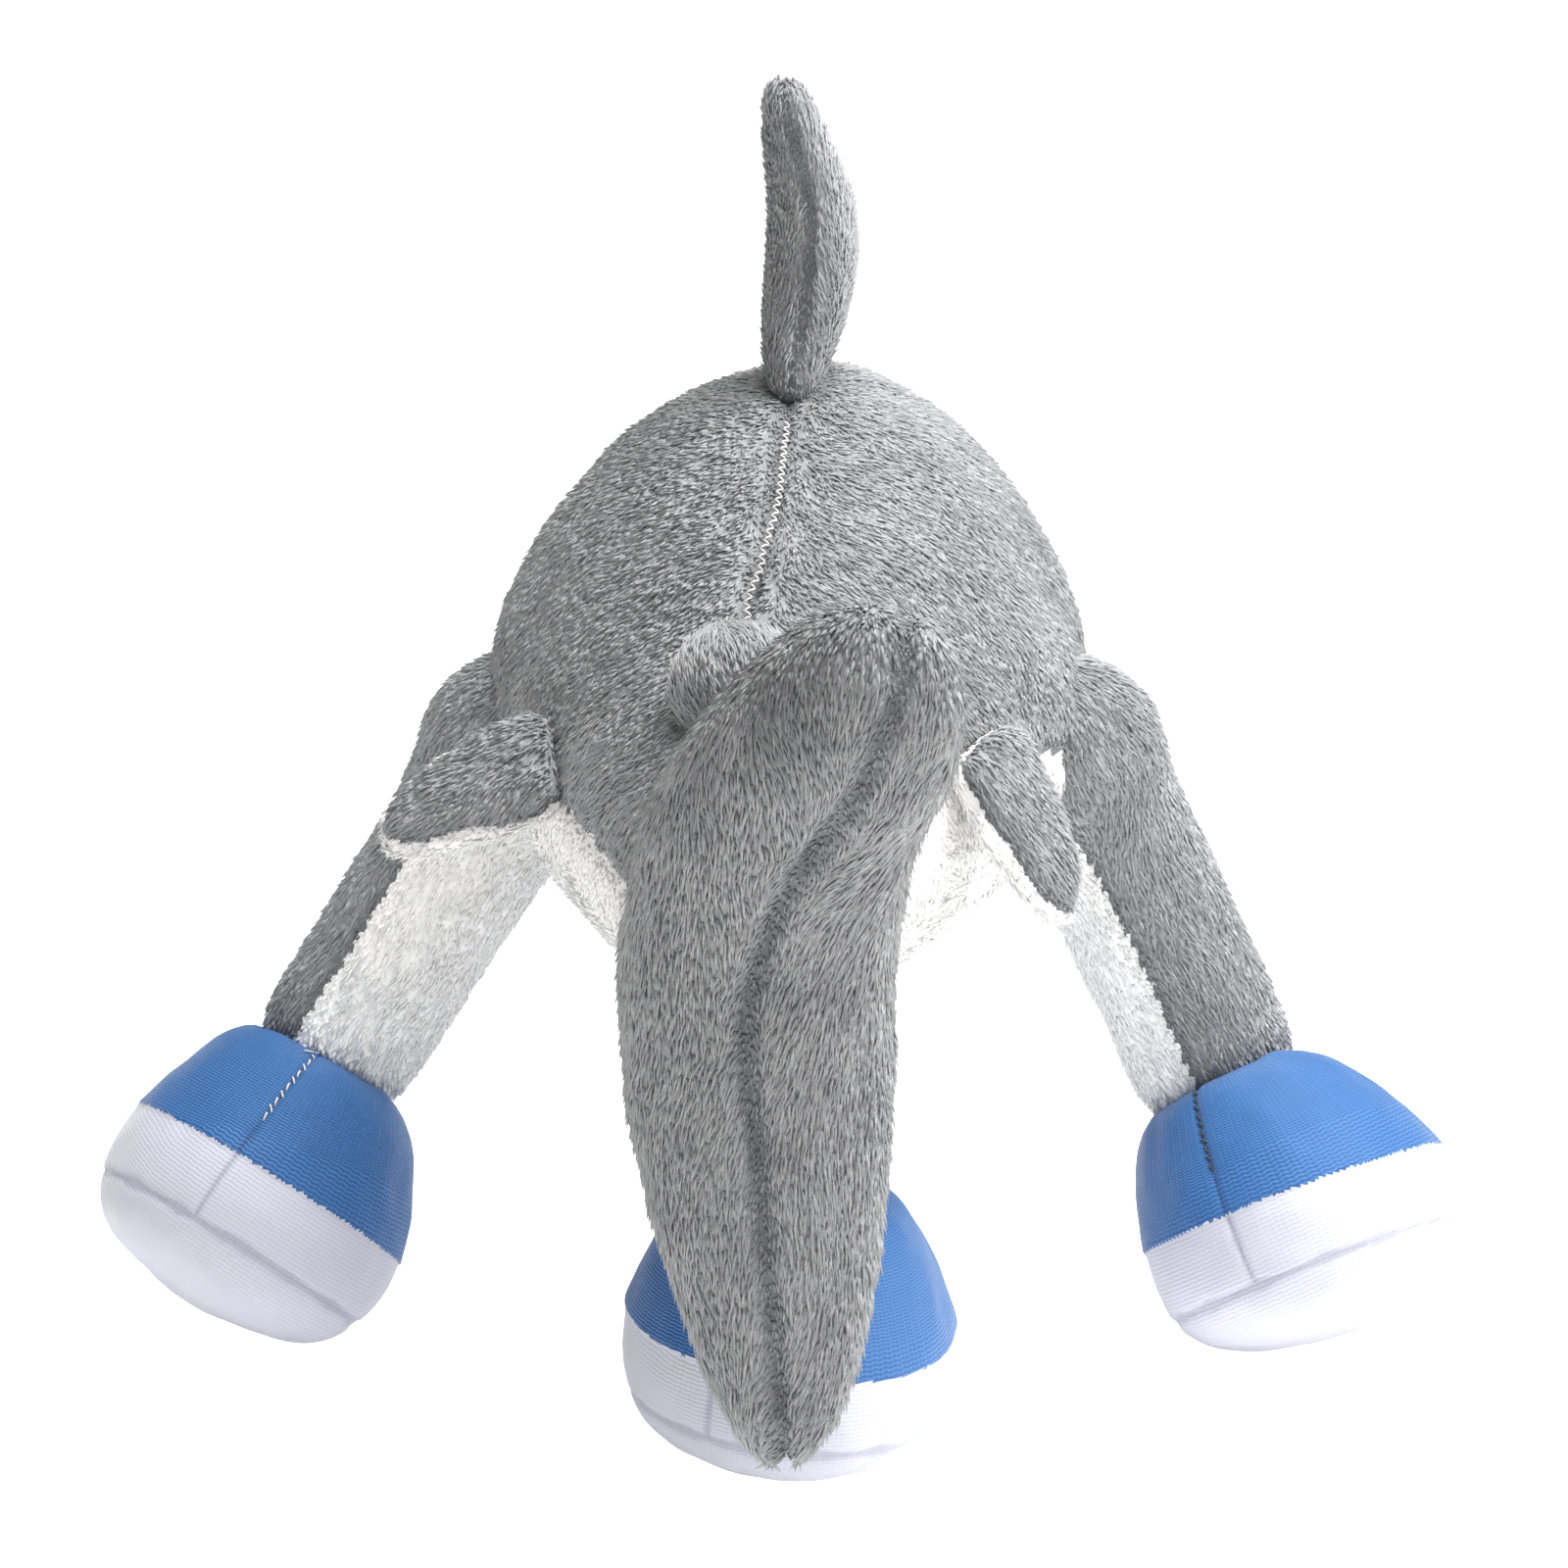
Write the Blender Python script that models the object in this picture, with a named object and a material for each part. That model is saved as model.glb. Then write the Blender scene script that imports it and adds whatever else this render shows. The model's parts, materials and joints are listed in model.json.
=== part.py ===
import math

import bmesh
import bpy
from mathutils import Matrix, Vector

# A plush shark that stands on three stuffed legs in knit shoes.
# Tables are in millimetres and MM turns them into metres. The nose points to -Y, the
# tail to +Y, and the shark's own left is +X. The floor is z = 0.
MM = 0.001

# From the middle of the torso to the middle of the footprint
SHIFT = (0.2, -8.0, 0.0)

# Cloth, seams and the block that flattens the soles
CLOTH = 2.0
GAP = 0.3
FILL_GAP = 0.7
BODY_FILL_GAP = 1.5
SEAM_HALF = GAP / 2
# Cloth thins towards a small end by this share for each millimetre of half width
THIN_END = 0.18
END_SHARE = 0.5
FLOOR_WIDTH = 500.0
FLOOR_DEPTH = 60.0
SHARP_ANGLE = 50.0

# Torso: y, centre z, half width, height above and below the centre, and how far above
# the side the seam between the back and the belly runs, in degrees
TORSO = (
    (-150.0, 137.0, 5.5, 5.5, 5.5, 0.0),
    (-146.0, 137.0, 15.0, 14.0, 12.0, -5.0),
    (-133.0, 137.5, 27.0, 25.0, 22.0, -12.0),
    (-106.0, 139.0, 42.0, 40.0, 36.0, -16.0),
    (-68.0, 140.0, 55.0, 54.0, 49.0, -18.0),
    (-20.0, 138.7, 62.5, 58.5, 56.0, -15.0),
    (18.0, 134.5, 57.5, 52.5, 53.0, -5.0),
    (55.0, 129.3, 41.0, 36.0, 40.0, 8.0),
    (80.0, 126.2, 29.0, 26.0, 29.0, 7.0),
    (95.0, 124.0, 21.5, 21.5, 22.5, 1.0),
)
TORSO_ROWS = 19
CROWN = 0.17
TOP_SEAM = 90.0
STEP_ANGLE = 15.0
# The back of the torso lies rolled a little to the left
ROLL = 8.0
ROLL_FROM = 25.0
ROLL_TO = 68.0

# Tail: a fat crescent along a path of x, y, z with half thickness and half depth
TAIL_PIVOT = (-2.0, 106.0, 123.0)
TAIL_SOCKET = 21.6
TAIL = (
    (-9.5, 142.0, 34.3, 4.0, 5.0),
    (-8.5, 138.0, 45.0, 12.5, 13.0),
    (-6.0, 131.0, 70.0, 19.5, 19.0),
    (-3.2, 122.5, 100.0, 24.6, 26.0),
    (-2.6, 121.0, 121.0, 24.0, 28.0),
    (-6.0, 129.0, 141.0, 23.5, 22.0),
    (-14.0, 141.0, 158.0, 20.5, 18.0),
    (-25.5, 152.5, 173.0, 16.5, 15.5),
    (-29.5, 157.0, 182.5, 6.5, 7.0),
)
TAIL_ROWS = 12
TAIL_STEPS = 6

# Back fin: a row for each height above its hinge line: y of its middle, x, half
# chord, half thickness
DORSAL_PIVOT = (-0.6, -32.0, 198.0)
DORSAL_SLOPE = -3.0
DORSAL_ROOT = 6.0
DORSAL_SOCKET = 6.8
DORSAL_SLOT = 54.0
DORSAL = (
    (0.0, 0.0, 0.0, 25.0, 6.2),
    (14.0, 1.0, -2.8, 22.5, 8.4),
    (30.0, 5.0, -4.0, 17.0, 8.4),
    (44.0, 12.0, -1.6, 11.0, 6.6),
    (55.0, 18.0, 0.8, 6.5, 4.8),
    (59.5, 20.5, 1.2, 2.0, 1.6),
)
DORSAL_ROWS = 8
FIN_STEPS = 5

# Small fin ahead of the tail
NUB_PIVOT = (7.5, 74.5, 152.0)
NUB_ROOT = 7.0
NUB_SOCKET = 8.7
NUB_LEAN = (0.18, 0.35, 1.0)
NUB_HEIGHT = 10.0

# Paired fins behind the front legs: distance from the hinge, half chord, half
# thickness, sweep back
PECTORAL = (
    (0.0, 13.5, 4.4, 0.0),
    (9.0, 13.4, 5.0, 0.5),
    (18.0, 11.4, 4.6, 1.8),
    (26.5, 7.8, 3.6, 3.4),
    (31.5, 3.0, 1.8, 4.2),
)
PECTORAL_ROWS = 7
PECTORAL_ROOT = 4.4
PECTORAL_SOCKET = 5.4
PECTORAL_SLOT = 34.0
# pivot, direction outwards, direction of the hinge line
PECTORALS = {
    "left": ((43.5, 52.5, 135.0), (0.68, 0.4, -0.62), (-0.2, 0.77, -0.6)),
    "right": ((-42.0, 57.0, 138.0), (-0.52, 0.05, -0.85), (0.42, 0.89, -0.16)),
}

# Legs: shoulder or hip pivot, bend, ankle pivot
LEGS = {
    "left_front": ((53.5, -5.0, 121.5), (63.5, -5.0, 104.5), (90.0, -5.0, 62.7)),
    "right_front": ((-55.5, -5.0, 122.5), (-66.5, -7.0, 105.5), (-86.0, -14.0, 59.3)),
    "rear": ((-1.0, 55.0, 92.0), (-3.0, 58.0, 82.0), (-6.5, 60.0, 62.4)),
}
LEG_BALLS = {"left_front": 21.5, "right_front": 22.0, "rear": 19.0}
LEG_SOCKETS = {"left_front": 25.2, "right_front": 25.2, "rear": 21.0}
LEG_SEAMS = {"left_front": 57.0, "right_front": 100.0, "rear": 84.0}
LEG_MIDDLE = 17.3
LEG_FADE = 0.5
ANKLE_BALL = 17.5
ANKLE_SOCKET = 19.2
LEG_STEPS = 6
LEG_ROWS = 6
BALL_ANGLES = (14.0, 38.0, 64.0)

# Shoes: level below the ankle, half width, heel and toe reach
SHOE = (
    (-6.0, 19.4, 19.4, 19.4),
    (-13.0, 22.5, 22.0, 25.5),
    (-22.0, 27.0, 26.0, 34.5),
    (-31.0, 30.2, 29.2, 40.5),
    (-40.0, 31.6, 30.6, 43.5),
    (-48.0, 31.3, 30.3, 43.5),
    (-55.5, 27.5, 26.5, 39.0),
    (-61.0, 19.5, 18.5, 30.0),
    (-62.5, 9.0, 8.5, 15.0),
)
SHOE_BORDER = -34.5
SHOE_SEAM = -49.5
SHOE_STEPS = 14
# The way up through each shoe, how far the toe points to the shark's left in degrees,
# and how far the shoe drifts sideways below the ankle
SHOES = {
    "left_front": ((-0.488, -0.437, 0.755), 11.0, -4.0),
    "right_front": ((0.37, -0.4, 0.84), -31.0, -4.0),
    "rear": ((-0.12, -0.02, 0.99), -20.0, -2.0),
}

# Eyes: plastic domes on a post, held by a washer behind the cloth
EYE_ROW = -112.0
EYE_ANGLE = 30.0
EYE_TILT = 0.45
EYE_RADIUS = 5.5
EYE_HEIGHT = 4.0
EYE_RIM = 1.0
EYE_SIDES = 14
EYE_STEPS = 5
POST_RADIUS = 1.6
POST_LENGTH = 7.5
WASHER_RADIUS = 6.0
WASHER_TOP = 4.0
WASHER_THICK = 1.2
CLEAR_OF_CLOTH = 0.45

# Thread that closes the back seam
THREAD_FROM = 2.0
THREAD_TO = 62.0
THREAD_HALF = 0.7
THREAD_THICK = 0.5
THREAD_ROWS = 12

GREY = ((0.27, 0.28, 0.29), 0.9)
WHITE = ((0.86, 0.85, 0.83), 0.9)
BLUE = ((0.03, 0.18, 0.53), 0.8)
KNIT = ((0.80, 0.80, 0.86), 0.8)
FILLING = ((0.92, 0.92, 0.90), 0.95)
THREAD = ((0.75, 0.74, 0.72), 0.7)
BLACK = ((0.01, 0.01, 0.012), 0.12)
CLEAR = ((0.55, 0.56, 0.57), 0.5)


def clear_scene():
    for thing in list(bpy.data.objects):
        bpy.data.objects.remove(thing, do_unlink=True)


def finish_material(name, finish):
    colour, roughness = finish
    material = bpy.data.materials.new(name)
    material.use_nodes = True
    shader = material.node_tree.nodes["Principled BSDF"]
    shader.inputs["Base Color"].default_value = (*colour, 1.0)
    shader.inputs["Roughness"].default_value = roughness
    shader.inputs["Metallic"].default_value = 0.0
    return material


def smooth(stations, count):
    # Rows read evenly from a Catmull-Rom curve through the stations
    rows = []
    spans = len(stations) - 1
    for i in range(count):
        place = i * spans / (count - 1)
        k = min(int(place), spans - 1)
        f = place - k
        near = [stations[min(max(k + j, 0), spans)] for j in (-1, 0, 1, 2)]
        rows.append(
            tuple(
                b
                + 0.5 * f * (c - a + f * (2 * a - 5 * b + 4 * c - d + f * (3 * b - a - 3 * c + d)))
                for a, b, c, d in zip(*near)
            )
        )
    return rows


def pivot_empty(name, place):
    empty = bpy.data.objects.new(name, None)
    empty.location = (Vector(place) + Vector(SHIFT)) * MM
    empty.empty_display_size = 0.01
    bpy.context.collection.objects.link(empty)
    return empty


def add_object(name, shape, finish, parent=None):
    # The shape is in millimetres about the torso, and its vertices are stored about the pivot
    bmesh.ops.remove_doubles(shape, verts=shape.verts, dist=0.001)
    bmesh.ops.recalc_face_normals(shape, faces=shape.faces)
    mesh = bpy.data.meshes.new(name)
    shape.to_mesh(mesh)
    shape.free()
    mesh.transform(Matrix.Scale(MM, 4) @ Matrix.Translation(SHIFT))
    if parent is not None:
        mesh.transform(Matrix.Translation(-parent.location))
    mesh.shade_smooth()
    mesh.set_sharp_from_angle(angle=math.radians(SHARP_ANGLE))
    thing = bpy.data.objects.new(name, mesh)
    bpy.context.collection.objects.link(thing)
    thing.parent = parent
    if finish is not None:
        mesh.materials.append(finish_material(name, finish))
    return thing


def cut(thing, *cutters):
    for cutter in cutters:
        boolean = thing.modifiers.new(cutter.name, "BOOLEAN")
        boolean.operation = "DIFFERENCE"
        boolean.solver = "EXACT"
        boolean.object = cutter


def as_cutter(thing):
    thing.hide_render = True
    thing.display_type = "WIRE"
    return thing


def ball_cutter(name, centre, radius):
    shape = bmesh.new()
    bmesh.ops.create_uvsphere(
        shape, u_segments=18, v_segments=10, radius=radius, matrix=Matrix.Translation(centre)
    )
    return as_cutter(add_object(name, shape, None))


def rod(shape, centre, axis, radius, length, sides=14):
    turn = Vector((0, 0, 1)).rotation_difference(Vector(axis)).to_matrix().to_4x4()
    bmesh.ops.create_cone(
        shape,
        cap_ends=True,
        segments=sides,
        radius1=radius,
        radius2=radius,
        depth=length,
        matrix=Matrix.Translation(centre) @ turn,
    )


def rod_cutter(name, centre, axis, radius, length):
    shape = bmesh.new()
    rod(shape, centre, axis, radius, length)
    return as_cutter(add_object(name, shape, None))


def strip_faces(shape, first, second, closed=False):
    count = len(first)
    for i in range(count if closed else count - 1):
        j = (i + 1) % count
        shape.faces.new((first[i], first[j], second[j], second[i]))


def solid(rings):
    # A closed body through rings of points, with a flat cap on each end
    shape = bmesh.new()
    rows = [[shape.verts.new(point) for point in ring] for ring in rings]
    for first, second in zip(rows, rows[1:]):
        strip_faces(shape, first, second, closed=True)
    shape.faces.new(rows[0])
    shape.faces.new(rows[-1])
    return shape


def ring_solid(rings):
    # A closed body of revolution that has a hole, such as a washer
    shape = bmesh.new()
    rows = [[shape.verts.new(point) for point in ring] for ring in rings]
    for first, second in zip(rows, rows[1:] + rows[:1]):
        strip_faces(shape, first, second, closed=True)
    return shape


def slab(outer, inner, closed=False, capped=False):
    # A cloth panel between an outer and an inner grid of points. A closed one runs right
    # round, and a capped one also closes its last row, as a sole does.
    shape = bmesh.new()
    outside = [[shape.verts.new(point) for point in row] for row in outer]
    inside = [[shape.verts.new(point) for point in row] for row in inner]
    for rows in (outside, inside):
        for first, second in zip(rows, rows[1:]):
            strip_faces(shape, first, second, closed)
    strip_faces(shape, outside[0], inside[0], closed)
    if capped:
        shape.faces.new(outside[-1])
        shape.faces.new(inside[-1])
    else:
        strip_faces(shape, outside[-1], inside[-1], closed)
    if not closed:
        for side in (0, -1):
            strip_faces(shape, [row[side] for row in outside], [row[side] for row in inside])
    return shape


def spread(first, last, steps):
    return [first + (last - first) * i / steps for i in range(steps + 1)]


def panel(surface, rows, first, last, steps):
    # Surface gives a point for a row, an angle and an inset. The panel stops short of
    # both seams, by the same width on every row.
    grids = []
    for inset in (0.0, CLOTH):
        grid = []
        for row in range(rows):
            margin = math.degrees(SEAM_HALF / surface.reach(row))
            angles = spread(first + margin, last - margin, steps)
            grid.append([surface.point(row, angle, inset) for angle in angles])
        grids.append(grid)
    return slab(*grids)


def filling(surface, rows, steps, start=0.0, gap=FILL_GAP):
    # Its facets lie under those of the cloth, so it starts at one of the seams
    inset = CLOTH + gap
    angles = spread(start, start + 360.0, steps)[:-1]
    return solid([[surface.point(row, a, inset) for a in angles] for row in range(rows)])


class Tube:
    # Rows of centre, two section directions, two half sizes, and the way along
    def __init__(self, rows):
        self.rows = rows

    def reach(self, row):
        return min(self.rows[row][3], self.rows[row][4])

    def point(self, row, angle, inset):
        centre, across, up, wide, tall, along = self.rows[row]
        if row == 0:
            centre = centre + along * (END_SHARE * inset)
        if row == len(self.rows) - 1:
            centre = centre - along * (END_SHARE * inset)
        step = inset * min(THIN_END * self.reach(row), 1.0)
        turn = math.radians(angle)
        side = across * ((wide - step) * math.cos(turn))
        return centre + side + up * ((tall - step) * math.sin(turn))


def torso_point(row, angle, inset):
    y, z, wide, above, below, seam = row
    share = min(max((y - ROLL_FROM) / (ROLL_TO - ROLL_FROM), 0.0), 1.0)
    roll = ROLL * share * share * (3.0 - 2.0 * share)
    turn = math.radians(angle + seam * math.cos(math.radians(angle)) - roll)
    tall, crown = (above, CROWN) if math.sin(turn) > 0 else (below, 0.0)
    side = (wide - inset) * math.cos(turn) * (1.0 - crown * math.sin(turn))
    return Vector((side, y, z + (tall - inset) * math.sin(turn)))


class Torso:
    def __init__(self):
        self.rows = smooth(TORSO, TORSO_ROWS)

    def reach(self, row):
        return min(self.rows[row][2:5])

    def point(self, row, angle, inset):
        step = inset * min(THIN_END * self.reach(row), 1.0)
        point = torso_point(self.rows[row], angle, step)
        if row == 0:
            point.y += END_SHARE * inset
        if row == len(self.rows) - 1:
            point.y -= END_SHARE * inset
        return point


def torso_station(y):
    # The station of the torso at a place along it
    rows = smooth(TORSO, 121)
    for first, second in zip(rows, rows[1:]):
        if first[0] <= y <= second[0]:
            f = (y - first[0]) / (second[0] - first[0])
            return tuple(a + (b - a) * f for a, b in zip(first, second))
    return rows[-1]


def torso_top(y):
    # A point on the top seam, with the way across it and the way out of the cloth
    row = torso_station(y)
    before, point, after = [torso_point(row, TOP_SEAM + turn, 0.0) for turn in (-4.0, 0.0, 4.0)]
    across = (before - after).normalized()
    return point, across, Vector((-across.z, 0.0, across.x))


def make_torso(cutters, well_cutters):
    torso = Torso()
    seams = {
        "back_left_panel": (0.0, TOP_SEAM, GREY),
        "back_right_panel": (TOP_SEAM, 180.0, GREY),
        "belly_panel": (180.0, 360.0, WHITE),
    }
    for name, (first, last, finish) in seams.items():
        steps = round((last - first) / STEP_ANGLE)
        cloth = add_object(name, panel(torso, TORSO_ROWS, first, last, steps), finish)
        cut(cloth, *cutters)
    steps = round(360.0 / STEP_ANGLE)
    stuffing = filling(torso, TORSO_ROWS, steps, gap=BODY_FILL_GAP)
    core = add_object("body_filling", stuffing, FILLING)
    cut(core, *cutters, *well_cutters)


def make_back_thread():
    rings = []
    for y in spread(THREAD_FROM, THREAD_TO, THREAD_ROWS):
        point, across, out = torso_top(y)
        low = point + out * CLEAR_OF_CLOTH
        high = low + out * THREAD_THICK
        half = across * THREAD_HALF
        rings.append([low - half, low + half, high + half, high - half])
    add_object("back_seam_thread", solid(rings), THREAD)


def eye_place(side):
    angle = EYE_ANGLE if side == "left" else 180.0 - EYE_ANGLE
    row = torso_station(EYE_ROW)
    place = torso_point(row, angle, 0.0)
    out = Vector((place.x, 0.0, place.z - row[1])).normalized()
    return place, (out + Vector((0.0, -EYE_TILT, 0.0))).normalized()


def turned(place, out, profile):
    # Rings of points about an axis, for a profile of radius and height
    turn = Vector((0, 0, 1)).rotation_difference(out).to_matrix()
    rings = []
    for radius, height in profile:
        ring = []
        for angle in spread(0.0, 360.0, EYE_SIDES)[:-1]:
            a = math.radians(angle)
            point = Vector((radius * math.cos(a), radius * math.sin(a), height))
            ring.append(place + turn @ point)
        rings.append(ring)
    return rings


def make_eye(side):
    place, out = eye_place(side)
    profile = [(POST_RADIUS, -POST_LENGTH), (POST_RADIUS, CLEAR_OF_CLOTH)]
    profile.append((EYE_RADIUS, CLEAR_OF_CLOTH))
    for angle in spread(0.0, 90.0, EYE_STEPS)[:-1]:
        a = math.radians(angle)
        rise = CLEAR_OF_CLOTH + EYE_RIM + EYE_HEIGHT * math.sin(a)
        profile.append((EYE_RADIUS * math.cos(a), rise))
    add_object(side + "_eye", solid(turned(place, out, profile)), BLACK)
    hole = POST_RADIUS + GAP
    low = -WASHER_TOP - WASHER_THICK
    washer = [(hole, -WASHER_TOP), (WASHER_RADIUS, -WASHER_TOP), (WASHER_RADIUS, low), (hole, low)]
    add_object(side + "_eye_washer", ring_solid(turned(place, out, washer)), CLEAR)


def eye_cutters(side):
    # A hole for the post, and a pocket in the filling for the washer
    place, out = eye_place(side)
    hole = rod_cutter(side + "_eye_hole", place, out, POST_RADIUS + GAP, 2 * POST_LENGTH + GAP)
    depth = WASHER_TOP + WASHER_THICK + GAP
    pocket = rod_cutter(side + "_eye_pocket", place, out, WASHER_RADIUS + GAP, 2 * depth)
    return hole, pocket


def tail_tube():
    stations = smooth(TAIL, TAIL_ROWS)
    rows = []
    for i, (x, y, z, thick, deep) in enumerate(stations):
        before = Vector(stations[max(i - 1, 0)][:3])
        after = Vector(stations[min(i + 1, TAIL_ROWS - 1)][:3])
        along = (after - before).normalized()
        across = (Vector((1, 0, 0)) - along * along.x).normalized()
        rows.append((Vector((x, y, z)), along.cross(across), across, deep, thick, along))
    return Tube(rows)


def make_tail(parent):
    tube = tail_tube()
    sides = (("tail_left_panel", 0.0, 180.0), ("tail_right_panel", 180.0, 360.0))
    for name, first, last in sides:
        add_object(name, panel(tube, TAIL_ROWS, first, last, TAIL_STEPS), GREY, parent)
    add_object("tail_filling", filling(tube, TAIL_ROWS, 2 * TAIL_STEPS), FILLING, parent)


def dorsal_frame():
    turn = Matrix.Rotation(math.radians(DORSAL_SLOPE), 3, "X")
    return turn @ Vector((0, 1, 0)), turn @ Vector((0, 0, 1))


def dorsal_tube():
    along, up = dorsal_frame()
    across = Vector((1, 0, 0))
    base = Vector(DORSAL_PIVOT)
    rows = []
    for drop in (0.9, 0.5):
        half = math.sqrt(1.0 - drop * drop)
        centre = base - up * (drop * DORSAL_ROOT)
        chord = DORSAL[0][3] - DORSAL_ROOT * (1.0 - half)
        rows.append((centre, across, along, DORSAL_ROOT * half, chord, up))
    for height, y, x, chord, thick in smooth(DORSAL, DORSAL_ROWS):
        centre = base + along * y + up * height + across * x
        rows.append((centre, across, along, thick, chord, up))
    return Tube(rows)


def make_dorsal(parent):
    tube = dorsal_tube()
    rows = len(tube.rows)
    sides = (("dorsal_fin_left_panel", -90.0, 90.0), ("dorsal_fin_right_panel", 90.0, 270.0))
    for name, first, last in sides:
        add_object(name, panel(tube, rows, first, last, FIN_STEPS), GREY, parent)
    add_object("dorsal_fin_filling", filling(tube, rows, 2 * FIN_STEPS, -90.0), FILLING, parent)


def make_nub(parent):
    up = Vector(NUB_LEAN).normalized()
    across = Vector((1, 0, 0)) - up * up.x
    across.normalize()
    along = up.cross(across)
    base = Vector(NUB_PIVOT)
    rows = []
    for rise in (-0.95, -0.6, 0.0):
        half = NUB_ROOT * math.sqrt(1.0 - rise * rise)
        rows.append((base + up * (rise * NUB_ROOT), across, along, half, half, up))
    for rise in (0.0, 0.5, 0.85, 0.98):
        half = NUB_ROOT * math.sqrt(1.0 - rise * rise)
        centre = base + up * (NUB_HEIGHT - NUB_ROOT + rise * NUB_ROOT)
        rows.append((centre, across, along, half, half, up))
    tube = Tube(rows)
    angles = spread(0.0, 360.0, 2 * FIN_STEPS)[:-1]
    shape = solid([[tube.point(row, a, 0.0) for a in angles] for row in range(len(rows))])
    add_object("small_fin", shape, GREY, parent)


def pectoral_tube(side):
    pivot, out, hinge = (Vector(part) for part in PECTORALS[side])
    hinge.normalize()
    out = (out - hinge * out.dot(hinge)).normalized()
    up = out.cross(hinge)
    if up.z < 0:
        up = -up
    rows = []
    for drop in (0.92, 0.55):
        half = math.sqrt(1.0 - drop * drop)
        centre = pivot - out * (drop * PECTORAL_ROOT)
        chord = PECTORAL[0][1] - PECTORAL_ROOT * (1.0 - half)
        rows.append((centre, hinge, up, chord, PECTORAL_ROOT * half, out))
    for reach, chord, thick, sweep in smooth(PECTORAL, PECTORAL_ROWS):
        centre = pivot + out * reach + hinge * sweep
        rows.append((centre, hinge, up, chord, thick, out))
    return Tube(rows)


def make_pectoral(side, parent):
    tube = pectoral_tube(side)
    rows = len(tube.rows)
    faces = (("_side_fin_upper_panel", 0.0, 180.0, GREY), ("_side_fin_lower_panel", 180.0, 360.0, WHITE))
    for ending, first, last, finish in faces:
        add_object(side + ending, panel(tube, rows, first, last, FIN_STEPS), finish, parent)
    add_object(side + "_side_fin_filling", filling(tube, rows, 2 * FIN_STEPS), FILLING, parent)


def leg_tube(place):
    root, bend, ankle = (Vector(part) for part in LEGS[place])
    ball = LEG_BALLS[place]
    outwards = Vector((1, 0, 0)) if root.x > 0 else Vector((-1, 0, 0))
    rows = []

    def add_row(centre, along, radius):
        across = (outwards - along * outwards.dot(along)).normalized()
        back = along.cross(across)
        back = back if back.y > 0 else -back
        rows.append((centre, across, back, radius, radius, along))

    start = (bend - root).normalized()
    end = (ankle - bend).normalized()
    for angle in BALL_ANGLES:
        turn = math.radians(angle)
        add_row(root - start * (ball * math.cos(turn)), start, ball * math.sin(turn))
    for i in range(LEG_ROWS):
        t = i / (LEG_ROWS - 1)
        centre = root * (1 - t) ** 2 + bend * (2 * t * (1 - t)) + ankle * t**2
        along = (start * (1 - t) + end * t).normalized()
        fade = (1.0 - min(t / LEG_FADE, 1.0)) ** 2
        radius = ball * fade + (LEG_MIDDLE * (1 - t) + ANKLE_BALL * t) * (1 - fade)
        add_row(centre, along, radius)
    for angle in reversed(BALL_ANGLES):
        turn = math.radians(angle)
        add_row(ankle + end * (ANKLE_BALL * math.cos(turn)), end, ANKLE_BALL * math.sin(turn))
    return Tube(rows)


def make_leg(place, parent):
    tube = leg_tube(place)
    rows = len(tube.rows)
    seam = LEG_SEAMS[place]
    halves = (
        ("_leg_outer_panel", seam - 180.0, seam, GREY),
        ("_leg_inner_panel", seam, seam + 180.0, WHITE),
    )
    for ending, first, last, finish in halves:
        add_object(place + ending, panel(tube, rows, first, last, LEG_STEPS), finish, parent)
    add_object(place + "_leg_filling", filling(tube, rows, 2 * LEG_STEPS, seam), FILLING, parent)


def shoe_frame(place):
    up, heading, drift = SHOES[place]
    up = Vector(up).normalized()
    heading = math.radians(heading)
    toe = Vector((math.sin(heading), -math.cos(heading), 0))
    back = -(toe - up * toe.dot(up)).normalized()
    turn = Matrix((back.cross(up), back, up)).transposed()
    return Vector(LEGS[place][2]), turn, drift


def shoe_point(frame, level, inset, angle, lift=0.0):
    origin, turn, drift = frame
    z, wide, heel, toe = level
    a = math.radians(angle)
    reach = heel if math.sin(a) > 0 else toe
    side = (wide - inset) * math.cos(a) + drift * min(z / SHOE_BORDER, 1.0)
    return origin + turn @ Vector((side, (reach - inset) * math.sin(a), z + lift))


def shoe_levels(top, bottom, count):
    rows = smooth(SHOE, 65)
    levels = []
    for z in spread(top, bottom, count):
        for first, second in zip(rows, rows[1:]):
            if first[0] >= z >= second[0]:
                f = (first[0] - z) / (first[0] - second[0])
                levels.append(tuple(a + (b - a) * f for a, b in zip(first, second)))
                break
    return levels


def shoe_grid(frame, levels, inset, flat_end):
    grid = []
    for i, level in enumerate(levels):
        lift = inset if flat_end and i == len(levels) - 1 else 0.0
        angles = spread(0.0, 360.0, SHOE_STEPS)[:-1]
        grid.append([shoe_point(frame, level, inset, a, lift) for a in angles])
    return grid


def make_shoe(place, parent, socket, floor):
    frame = shoe_frame(place)
    top, bottom = SHOE[0][0], SHOE[-1][0]
    bands = (
        ("_shoe_upper", top, SHOE_BORDER + SEAM_HALF, 4, BLUE, (socket,)),
        ("_shoe_band", SHOE_BORDER - SEAM_HALF, SHOE_SEAM + SEAM_HALF, 2, KNIT, ()),
        ("_shoe_sole", SHOE_SEAM - SEAM_HALF, bottom, 4, KNIT, (floor,)),
    )
    for ending, first, last, count, finish, cutters in bands:
        levels = shoe_levels(first, last, count)
        capped = last == bottom
        grids = [shoe_grid(frame, levels, inset, capped) for inset in (0.0, CLOTH)]
        cloth = slab(*grids, closed=True, capped=capped)
        cut(add_object(place + ending, cloth, finish, parent), *cutters)
    levels = shoe_levels(top, bottom, 8)
    core = solid(shoe_grid(frame, levels, CLOTH + FILL_GAP, True))
    cut(add_object(place + "_shoe_filling", core, FILLING, parent), socket)


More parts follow.
